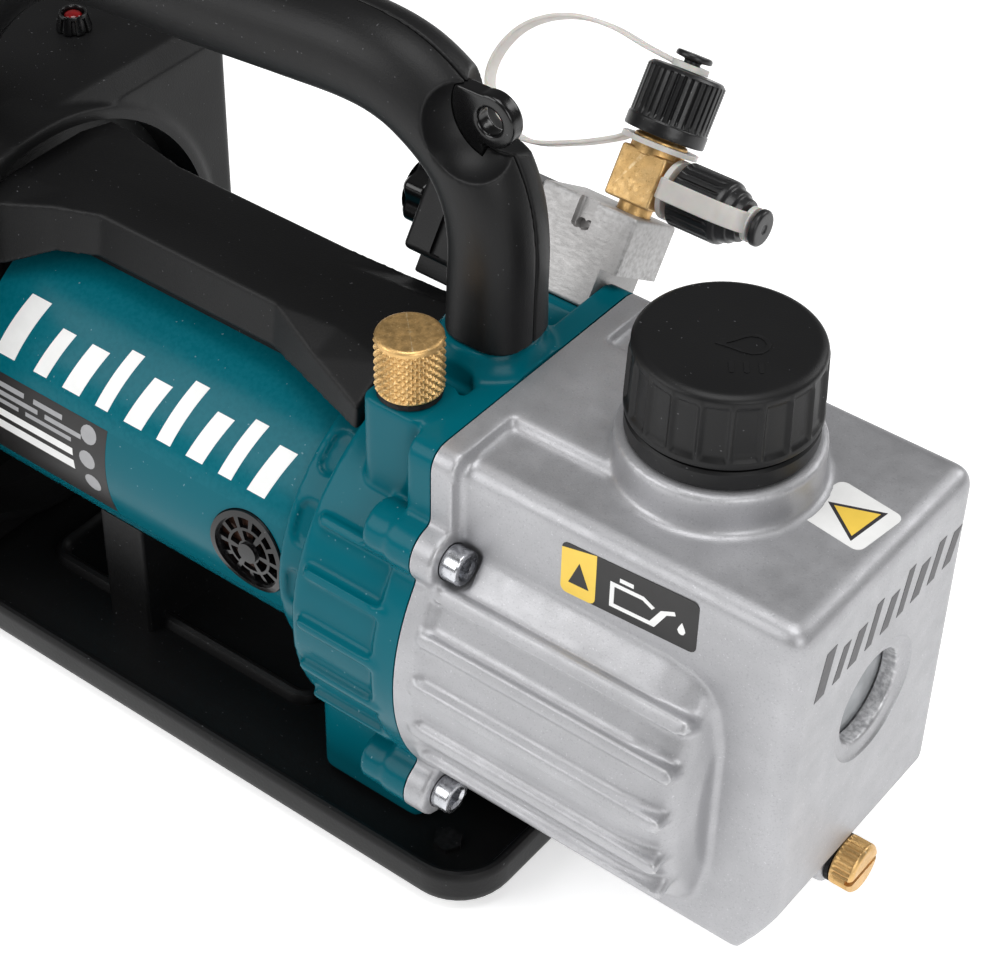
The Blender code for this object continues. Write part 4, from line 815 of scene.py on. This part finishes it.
def make_handle():
    count, around = 130, 24
    path = smooth_path(HANDLE_ROUTE, count)
    for name, side in (("handle_near_half", -1), ("handle_far_half", 1)):
        rings = []
        for i, point in enumerate(path):
            t = i / (count - 1) * (len(HANDLE_RADII) - 1)
            k = min(int(t), len(HANDLE_RADII) - 2)
            radius = HANDLE_RADII[k] + (HANDLE_RADII[k + 1] - HANDLE_RADII[k]) * (t - k)
            along = (path[min(i + 1, count - 1)] - path[max(i - 1, 0)]).normalized()
            out = Vector((along.z, 0, -along.x))
            square = 2.0 + 0.9 * max(0, 1 - t / 4)
            ring = []
            for j in range(around + 1):
                a = math.pi * j / around
                c, s = math.cos(a), math.sin(a)
                c = math.copysign(abs(c) ** (2 / square), c)
                s = s ** (2 / square)
                ring.append(point + out * radius * c + Vector((0,
                    side * (0.15 + (radius - 0.15) * s), 0)))
            rings.append(ring)
        half = skin(rings)
        carve(half, block((-400, -298), (-40, 40), (100, 150.3)))
        ball = lathe([(0, 15)] + [(15 * math.sin(a), 15 * math.cos(a))
            for a in [math.pi * q / 24 for q in range(1, 24)]] + [(0, -15)],
            (LUG[0] + 1, side * 10.5, LUG[2] + 2), steps=64)
        carve(half, ball)
        cast(half, HANDLE_VOXEL, 1)
        carve(half, block((LUG[0] - 12.8, LUG[0] - 1.5), (-2.8, 2.8),
            (LUG[2] - 14.3, LUG[2] + 7.3)), drum(8.0, -2.8, 2.8, LUG, "Y", 96))
        settle(half, name, "moulded_black", angle=60, finish=handle_black)
    lug = lathe(soft([(7.6, 0), (7.6, 2.5), (3.8, 2.5), (3.8, -2.5), (7.6, -2.5), (7.6, 0)], 1.1),
        LUG, "Y", 96)
    root = block((LUG[0] - 12.5, LUG[0] - 2), (-2.5, 2.5), (LUG[2] - 14, LUG[2] + 7), 0.6)
    carve(root, drum(4.2, -10, 10, LUG, "Y", 64))
    lug = cast([lug, root], 0.34, 2)
    settle(lug, "strap_lug", "gloss_black", angle=60)


# --- leaning manifold ----------------------------------------------------------------------------
def strip(route, width, thickness, plane):
    """A strap of even width along a flat route, its four long edges rounded."""
    count = 90
    path = smooth_path(route, count)
    rings = []
    for i, point in enumerate(path):
        along = (path[min(i + 1, count - 1)] - path[max(i - 1, 0)]).normalized()
        wide = Vector((0, 1, 0)) if plane == "XZ" else Vector((0, 0, 1))
        thick = along.cross(wide)
        rings.append([point + wide * u + thick * v for u,
            v in rounded((-width / 2, width / 2), (-thickness / 2, thickness / 2),
            thickness * 0.35, 2)])
    return skin(rings)


def make_manifold():
    body = block((-146, -114), (-12, 12.5), (76, 104.5), 1.0, 3)
    carve(body, block((-119.3, -110), (-15, 15), (70, 88)),
        block((-133.2, -127.2), (-15, -9.5), (96, 108), 0.9),
        drum(5.3, 92, 110, (TEE_X, 0, 0), "Z"), drum(7.3, -150, -138, COIL_AXIS),
        drum(1.5, -13, -7, (-131.4, 0, 97.2), "Y", 24),
        drum(1.5, -13, -7, (-129.0, 0, 97.2), "Y", 24))
    settle(body, "manifold_block", "bare_aluminium", place=LEAN, angle=30)

    tee = block((TEE_X - 7.4, TEE_X + 7.4), (-7.4, 7.4), (107.2, 122.2), 0.8, 3)
    weld(tee, drum(5, 93, 108, (TEE_X, 0, 0), "Z"),
        lathe(soft([(0, 140), (6.6, 140), (6.6, 126.6), (7.8, 126.2), (7.8, 121), (0, 121)], 0.8),
        (TEE_X, 0, 0), steps=64), lathe(soft([(0, -98.6), (5.1, -98.6), (5.1, TEE_X + 6),
        (0, TEE_X + 6)], 0.8), SIDE_PORT, "X", 64))
    settle(tee, "tee_fitting", "brass", place=LEAN, angle=30)

    def flutes(a, r, h):
        return -0.75 * (max(0, math.cos(a * 34)) ** 0.6) if r > 10 and 131.8 < h < 145.0 else 0

    large = lathe(fine(soft([(0, 151.2), (4.9, 151.2), (5.3, 150.6), (5.3, 149.6), (2.4, 149.2),
        (2.4, 146.3), (10.2, 146.1), (11.4, 145), (11.4, 131.2), (11.7, 130.9), (11.7, 127.2),
        (7.0, 127.2), (7.0, 141), (0, 141)], 0.45), 1.3), (TEE_X, 0, 0), steps=408, ripple=flutes)
    settle(large, "large_flare_cap", "cap_plastic", body="large_cap_turn", place=LEAN, angle=30,
        finish=flare_black)

    def side_flutes(a, r, h):
        return -0.55 * (max(0, math.cos(a * 26)) ** 0.6) if r > 8.5 and -108.6 < h < -96.4 else 0

    small = lathe(fine(soft([(0, -83.8), (1.2, -83.8), (1.5, -83.4), (4.7, -83.4), (5.3, -84),
        (5.3, -85.5), (2.2, -86), (2.2, -89), (6.0, -89.2), (6.6, -91.4), (7.4, -91.8),
        (8.0, -94.2), (8.9, -94.8), (9.2, -96), (9.2, -110), (5.5, -110), (5.5, -97.6),
        (0, -97.6)], 0.35), 1.2), SIDE_PORT, "X", steps=312, ripple=side_flutes)
    settle(small, "small_flare_cap", "cap_plastic", body="small_cap_turn", place=LEAN, angle=30,
        finish=flare_black)

    route = ((TEE_X - 9.5, 0, 124.7), (-136, 0, 121.5), (-147, 0, 116), (-161, 0, 111.2),
        (-172, 0, 113.5), (-180, 0, 121), (-181.5, 0, 129), (-178, 0, 138), (-171, 0, 144.5),
        (-161, 0, 148.6), (-149, 0, 149.6), (-137, 0, 148.2), (TEE_X - 4.5, 0, 147.3))
    strap = strip(route, 5.2, 1.3, "XZ")
    weld(strap, lathe([(11.2, 125.4), (11.2, 123.9), (8.2, 123.9), (8.2, 125.4)], (TEE_X, 0, 0),
        closed=True), lathe([(5.4, 148.2), (5.4, 146.5), (2.7, 146.5), (2.7, 148.2)],
        (TEE_X, 0, 0), closed=True))
    settle(strap, "large_cap_tether", "clear_nylon", body="large_cap_lift", place=LEAN, angle=40,
        name="large_tether_fine")

    bend = [(x, v, SIDE_PORT[2]) for x, v in ((-112.9, -7.6), (-112.2, -10.4), (-109, -10.9),
        (-96, -10.9), (-91.2, -9.1), (-88.6, -7.2), (-87.5, -3.6))]
    strap = strip(bend, 6.0, 1.3, "XY")
    weld(strap, lathe([(8.6, -112), (8.6, -113.6), (5.5, -113.6), (5.5, -112)], SIDE_PORT, "X",
        closed=True), lathe([(5.0, -86.7), (5.0, -88.2), (2.5, -88.2), (2.5, -86.7)], SIDE_PORT,
        "X", closed=True))
    settle(strap, "small_cap_tether", "clear_nylon", body="small_cap_lift", place=LEAN, angle=40,
        name="small_tether_fine")

    coil = block((-179.5, -149), (-16, 16), (70.5, 102.5), 1.8, 3)
    weld(coil, block((-177, -163), (-9, 12), (64.5, 72), 0.8, 2))
    carve(coil, drum(7.3, -200, -140, COIL_AXIS), block((-170, -166), (-17, -14.6), (72, 101),
        0.6, 2))
    settle(coil, "solenoid_coil", "moulded_black", place=LEAN, angle=30)

    def lobes(a, r, h):
        return 1.0 * math.cos(a * 6) - 1.0 if r > 9 and h < -181.0 else 0

    nut = lathe(fine(soft([(7.3, -184.5), (7.3, -179.8), (10.4, -179.8), (10.4, -181.6),
        (11.2, -182.2), (11.2, -188.4), (9.6, -190), (0, -190)], 0.6), 0.8), COIL_AXIS, "X", 144,
        lobes)
    bm = bmesh.new()
    bm.from_mesh(nut.data)
    open_ring = [e for e in bm.edges if e.is_boundary]
    bmesh.ops.edgeloop_fill(bm, edges=open_ring)
    bmesh.ops.recalc_face_normals(bm, faces=bm.faces)
    bm.to_mesh(nut.data)
    bm.free()
    settle(nut, "coil_nut", "gloss_black", place=LEAN, angle=35)


def make_spring():
    turns, steps, sides = 5, 36, 10
    start, length, coil_r, wire_r = -168.8, 11.4, 3.4, 0.45
    rings = []
    for i in range(turns * steps + 1):
        a = i / steps * TAU
        out = Vector((0, math.cos(a), math.sin(a)))
        middle = Vector(COIL_AXIS) + Vector((start - length * i / (turns * steps), 0,
            0)) + out * coil_r
        rings.append([middle + Vector((wire_r * math.cos(b), 0, 0)) + out * wire_r * math.sin(b)
            for b in [TAU * k / sides for k in range(sides)]])
    spring = settle(skin(rings), "plunger_spring", "plain_steel", place=LEAN, angle=60)
    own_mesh(spring)


# --- base ----------------------------------------------------------------------------------------
def make_base():
    x, half, corner = (-352.0, -82.8), 63.0, 18.0
    section = [(24, 3.3), (2.4, 3.3), (0.9, 3.7), (0.1, 5.0), (0.0, 6.6), (0.0, 12.2),
        (0.25, 13.6), (1.0, 14.7), (2.1, 15.0), (3.2, 14.6), (3.9, 13.5), (4.3, 12.0), (4.9, 9.4),
        (5.8, 7.6), (7.2, 6.8), (9.5, 6.6), (24, 6.6)]
    rings = []
    for inset, z in section:
        outline = rounded((x[0] + inset, x[1] - inset), (inset - half, half - inset),
            max(corner - inset, 1.5), 10)
        rings.append([(u, v, z) for u, v in outline])
    tray = skin(rings)
    bead = []
    for inset, z in ((0, 6.2), (0.3, 8.0), (1.2, 9.4), (2.5, 10.0), (3.8, 9.4), (5.0, 8.0),
            (5.6, 6.2), (5.6, 5), (0, 5)):
        bead.append([(u, v, z) for u, v in rounded((-285 + inset, -170 - inset),
            (inset - 31, 31 - inset), 9 - inset, 8)])
    saddle = block((-250, -232), (-36, 36), (5.1, 62), 1.5, 3)
    carve(saddle, drum(TUBE_SEAT_R, -260, -220, AXIS, steps=128))
    bolts = [drum(4.6, 6.4, 8.3, at, "Z", 6) for at in FEET.values()]
    weld(tray, skin(bead, loop=True), saddle, *bolts)
    carve(tray, *[drum(3.3, 0, 6.3, at, "Z", 24) for at in FEET.values()])
    settle(tray, "base_tray", "black_powder_coat", angle=32)

    for name, at in FEET.items():
        foot = lathe(soft([(0, 6.2), (3, 6.2), (3, 3), (9.2, 3), (10, 2.2), (9.4, 0), (5, 0),
            (4.4, 0.8), (0, 0.8)], 0.4), at, steps=64)
        settle(foot, name, "black_rubber")


# --- labels and printed marks --------------------------------------------------------------------
def decal(name, layers, place, finishes, bend=None):
    """A flat mark of several layers. A layer is (corners, low, high, finish number). place
    turns (u, v, height) into a point. bend is the spacing of the cuts that let a layer follow a
    barrel."""
    bm = bmesh.new()
    for corners, low, high, number in layers:
        part = bmesh.new()
        face = part.faces.new([part.verts.new((u, v, 0)) for u, v in corners])
        if bend:
            vs = [v for _, v in corners]
            cut = math.floor(min(vs) / bend) * bend + bend
            while cut < max(vs):
                bmesh.ops.bisect_plane(part, geom=part.verts[:] + part.edges[:] + part.faces[:],
                    plane_co=(0, cut, 0), plane_no=(0, 1, 0))
                cut += bend
        grown = bmesh.ops.extrude_face_region(part, geom=part.faces[:])
        for v in part.verts:
            v.co.z = low
        for v in [g for g in grown["geom"] if isinstance(g, bmesh.types.BMVert)]:
            v.co.z = high
        bmesh.ops.recalc_face_normals(part, faces=part.faces)
        for f in part.faces:
            f.material_index = number
        for v in part.verts:
            v.co = Vector(place(*v.co))
        mesh = bpy.data.meshes.new("layer")
        part.to_mesh(mesh)
        part.free()
        bm.from_mesh(mesh)
        bpy.data.meshes.remove(mesh)
    settle(link(name, bm), None, None, finish=finishes[0], others=finishes[1:], angle=20,
        name=name)


def oblong(u, v, lean=0.0):
    """A four-cornered outline whose second side is shifted by lean."""
    return [(u[0], v[0]), (u[1], v[0]), (u[1] + lean, v[1]), (u[0] + lean, v[1])]


def slanted_bars(bars, base, lean, thickness):
    """Plain bars from base to their own end; a bar is (start, width, end)."""
    return [(oblong((start, start + width), (base, end), lean), -0.05, thickness, 0) for start,
        width, end in bars]


def make_marks():
    def on_side(u, v, h):
        return (u, -CASE_SIDE - h, v + (u + 50.2) * 0.055)

    side = [(rounded((-71, -29.4), (127.6, 144.6), 2.0, 4), -0.05, 0.10, 0)]
    side.append((rounded((-71, -60.2), (127.6, 144.6), 2.0, 4)[9:27]
        + [(-60.2, 127.6), (-60.2, 144.6)], 0.05, 0.14, 1))
    side.append(([(-68.6, 131.6), (-62.2, 131.6), (-65.4, 139.4)], 0.1, 0.17, 0))
    can = [(-54.5, 131.5), (-43.5, 131.5), (-40.4, 136.6), (-36.4, 138.4), (-36.0, 137.2),
        (-38.6, 136.0), (-42.0, 130.2), (-55.8, 130.2), (-55.8, 138.6), (-45.6, 138.6),
        (-42.2, 136.6), (-43.0, 135.6), (-46.0, 137.3), (-54.5, 137.3)]
    side.append((can, 0.1, 0.17, 2))
    side.append((oblong((-53.0, -48.8), (139.6, 140.9)), 0.1, 0.17, 2))
    drop = [(-34.0, 136.0), (-33.1, 134.2), (-32.8, 133.2), (-33.3, 132.2), (-34.0, 131.9),
        (-34.7, 132.2), (-35.2, 133.2), (-34.9, 134.2)]
    side.append((drop, 0.1, 0.17, 2))
    decal("case_side_label", side, on_side, [label_black, label_yellow, label_white])

    def on_top(u, v, h):
        turn = math.radians(-7.5)
        return (-16.0 + u * math.cos(turn) - v * math.sin(turn),
            4.2 + u * math.sin(turn) + v * math.cos(turn), CASE_TOP + h)

    top = [(rounded((-10.2, 10.2), (-9.2, 9.2), 2.4, 5), -0.05, 0.10, 0)]
    top.append(([(-7.2, 0), (6.2, 7.4), (6.2, -7.4)], 0.05, 0.15, 1))
    top.append(([(-5.2, 0), (5.2, 5.8), (5.2, -5.8)], 0.1, 0.19, 2))
    decal("case_top_label", top, on_top, [label_white, print_dark, label_yellow])

    def on_front(u, v, h):
        return (h, u, v)

    bars = ((-33, 4.6, 137), (-24.5, 3.4, 133), (-17.5, 4.2, 133), (-9.2, 3.2, 136),
        (-1.8, 4.0, 133), (6.2, 3.2, 136.5), (13.2, 4.4, 133), (21.6, 3.6, 135), (29.4, 4.2, 133))
    decal("case_front_mark", slanted_bars(bars, 122.5, 3.6, 0.08), on_front, [print_dark])

    def on_barrel(u, v, h):
        a = math.radians(v)
        r = TUBE_R + h
        return (u, -r * math.sin(a), AXIS_Z + r * math.cos(a))

    bars = ((-282, 8.0, 38), (-266, 5.4, 44), (-254, 7.0, 44), (-240.5, 5.0, 39), (-229, 7.0, 44),
        (-216, 5.4, 38), (-204.5, 6.4, 44), (-192, 5.0, 40), (-181, 6.6, 44))
    decal("barrel_mark", slanted_bars(bars, 64, 5.0, 0.10), on_barrel, [label_white], bend=2.5)

    plate = [(oblong((-289.5, -234), (71, 112)), -0.05, 0.08, 0)]
    for low, high, pieces in ((74.5, 76.6, ((-287, -268), (-264, -252))),
            (78.2, 80.2, ((-287, -262), (-259, -244))),
            (81.8, 83.6, ((-287, -270), (-267, -248)))):
        plate += [(oblong((a, b), (low, high)), 0.05, 0.11, 1) for a, b in pieces]
    plate += [(oblong((-289, -247.5), span), 0.05, 0.12, 2)
        for span in ((86.4, 89.8), (92.2, 96.6))]
    for u, v in ((-241, 76.5), (-241.5, 88), (-240.5, 99)):
        plate.append(([(u + 3.2 * math.cos(TAU * k / 16), v + 4.0 * math.sin(TAU * k / 16))
            for k in range(16)], 0.05, 0.11, 1))
    decal("rating_plate", plate, on_barrel, [label_black, label_grey, label_white], bend=2.5)


# --- camera and light: the camera in the pump's frame, lamps in metres and watts -----------------
CAMERA = (198.4, -430.3, 573.3)
AZIMUTH, ELEVATION, ROLL = 36.72, 41.2, 1.39
LENS, SENSOR = 91.5, 36
LAMPS = (("key", (-0.8, -1.15, 0.95), 1.1, 13), ("fill", (1.3, -0.7, 0.9), 0.9, 9),
    ("top", (0.1, -0.1, 1.7), 0.9, 13), ("back", (0.6, 1.15, 0.9), 0.7, 6))
LAMPS_AIM = Vector((0, 0, 0.08))
WORLD_STRENGTH = 0.14
FLOOR_GLOW = 0.5


def make_camera():
    data = bpy.data.cameras.new("camera")
    data.lens = LENS
    data.sensor_width = SENSOR
    cam = bpy.data.objects.new("camera", data)
    az, el, roll = math.radians(AZIMUTH), math.radians(ELEVATION), math.radians(ROLL)
    back = Vector((math.sin(az) * math.cos(el), -math.cos(az) * math.cos(el), math.sin(el)))
    side = Vector((math.cos(az), math.sin(az), 0))
    up = back.cross(side)
    right = math.cos(roll) * side + math.sin(roll) * up
    up = -math.sin(roll) * side + math.cos(roll) * up
    place = ORIGIN + Vector(CAMERA) * MM
    cam.matrix_world = Matrix(((right.x, up.x, back.x, place.x), (right.y, up.y, back.y, place.y),
        (right.z, up.z, back.z, place.z), (0, 0, 0, 1)))
    bpy.context.scene.collection.objects.link(cam)
    bpy.context.scene.camera = cam


def make_stage():
    bm = bmesh.new()
    bmesh.ops.create_grid(bm, x_segments=1, y_segments=1, size=4)
    floor = link("floor", bm)
    mat = Finish("floor", (0.92, 0.92, 0.92), 0.9, level=0.0).mottle(400, 0.01)
    mat.set(Emission_Strength=FLOOR_GLOW)
    mat.shader.inputs["Emission Color"].default_value = (1, 1, 1, 1)
    floor.data.materials.append(mat.done())
    world = bpy.data.worlds.new("world")
    world.use_nodes = True
    sky = world.node_tree.nodes["Background"]
    sky.inputs["Color"].default_value = (1, 1, 1, 1)
    sky.inputs["Strength"].default_value = WORLD_STRENGTH
    bpy.context.scene.world = world
    for name, place, size, power in LAMPS:
        light = bpy.data.lights.new(name, "AREA")
        light.size = size
        light.energy = power
        lamp = bpy.data.objects.new(name, light)
        lamp.location = place
        lamp.rotation_euler = (LAMPS_AIM - Vector(place)).to_track_quat("-Z", "Y").to_euler()
        bpy.context.scene.collection.objects.link(lamp)
    bpy.context.scene.view_settings.view_transform = "Standard"


# CAD nodes that stay, under the slot whose finish they get
KEPT = {
    "plain_steel": ("sight_glass_ring", "stage_rotor", "exhaust_reed", "front_bearing",
        "rear_bearing", "shaft_coupling", "motor_shaft", "motor_rotor", "valve_plunger",
        "armature_tube"),
    "black_rubber": ("oil_cap_seal", "drain_seal", "ballast_seal", "shaft_seal"),
    "cast_iron": ("stage_cylinder", "stage_end_plate"),
    "composite_vane": ("vane_upper", "vane_lower"),
    "copper_winding": ("motor_stator",),
    "moulded_black": ("cooling_fan",),
    "terminal_yellow": ("terminal_block",),
    "circuit_board": ("controller_board",),
}


def paint_cad():
    for slot, names in KEPT.items():
        for name in names:
            obj = nodes[name]
            if not obj.material_slots:
                obj.data.materials.append(None)
            for held in obj.material_slots:
                held.material = FINISHES[slot]


make_oil_case()
make_gasket()
make_case_screws()
make_case_fittings()
make_flange()
make_barrel()
make_shroud()
make_rear_housing()
make_handle()
make_manifold()
make_spring()
make_base()
make_marks()
paint_cad()
make_camera()
make_stage()
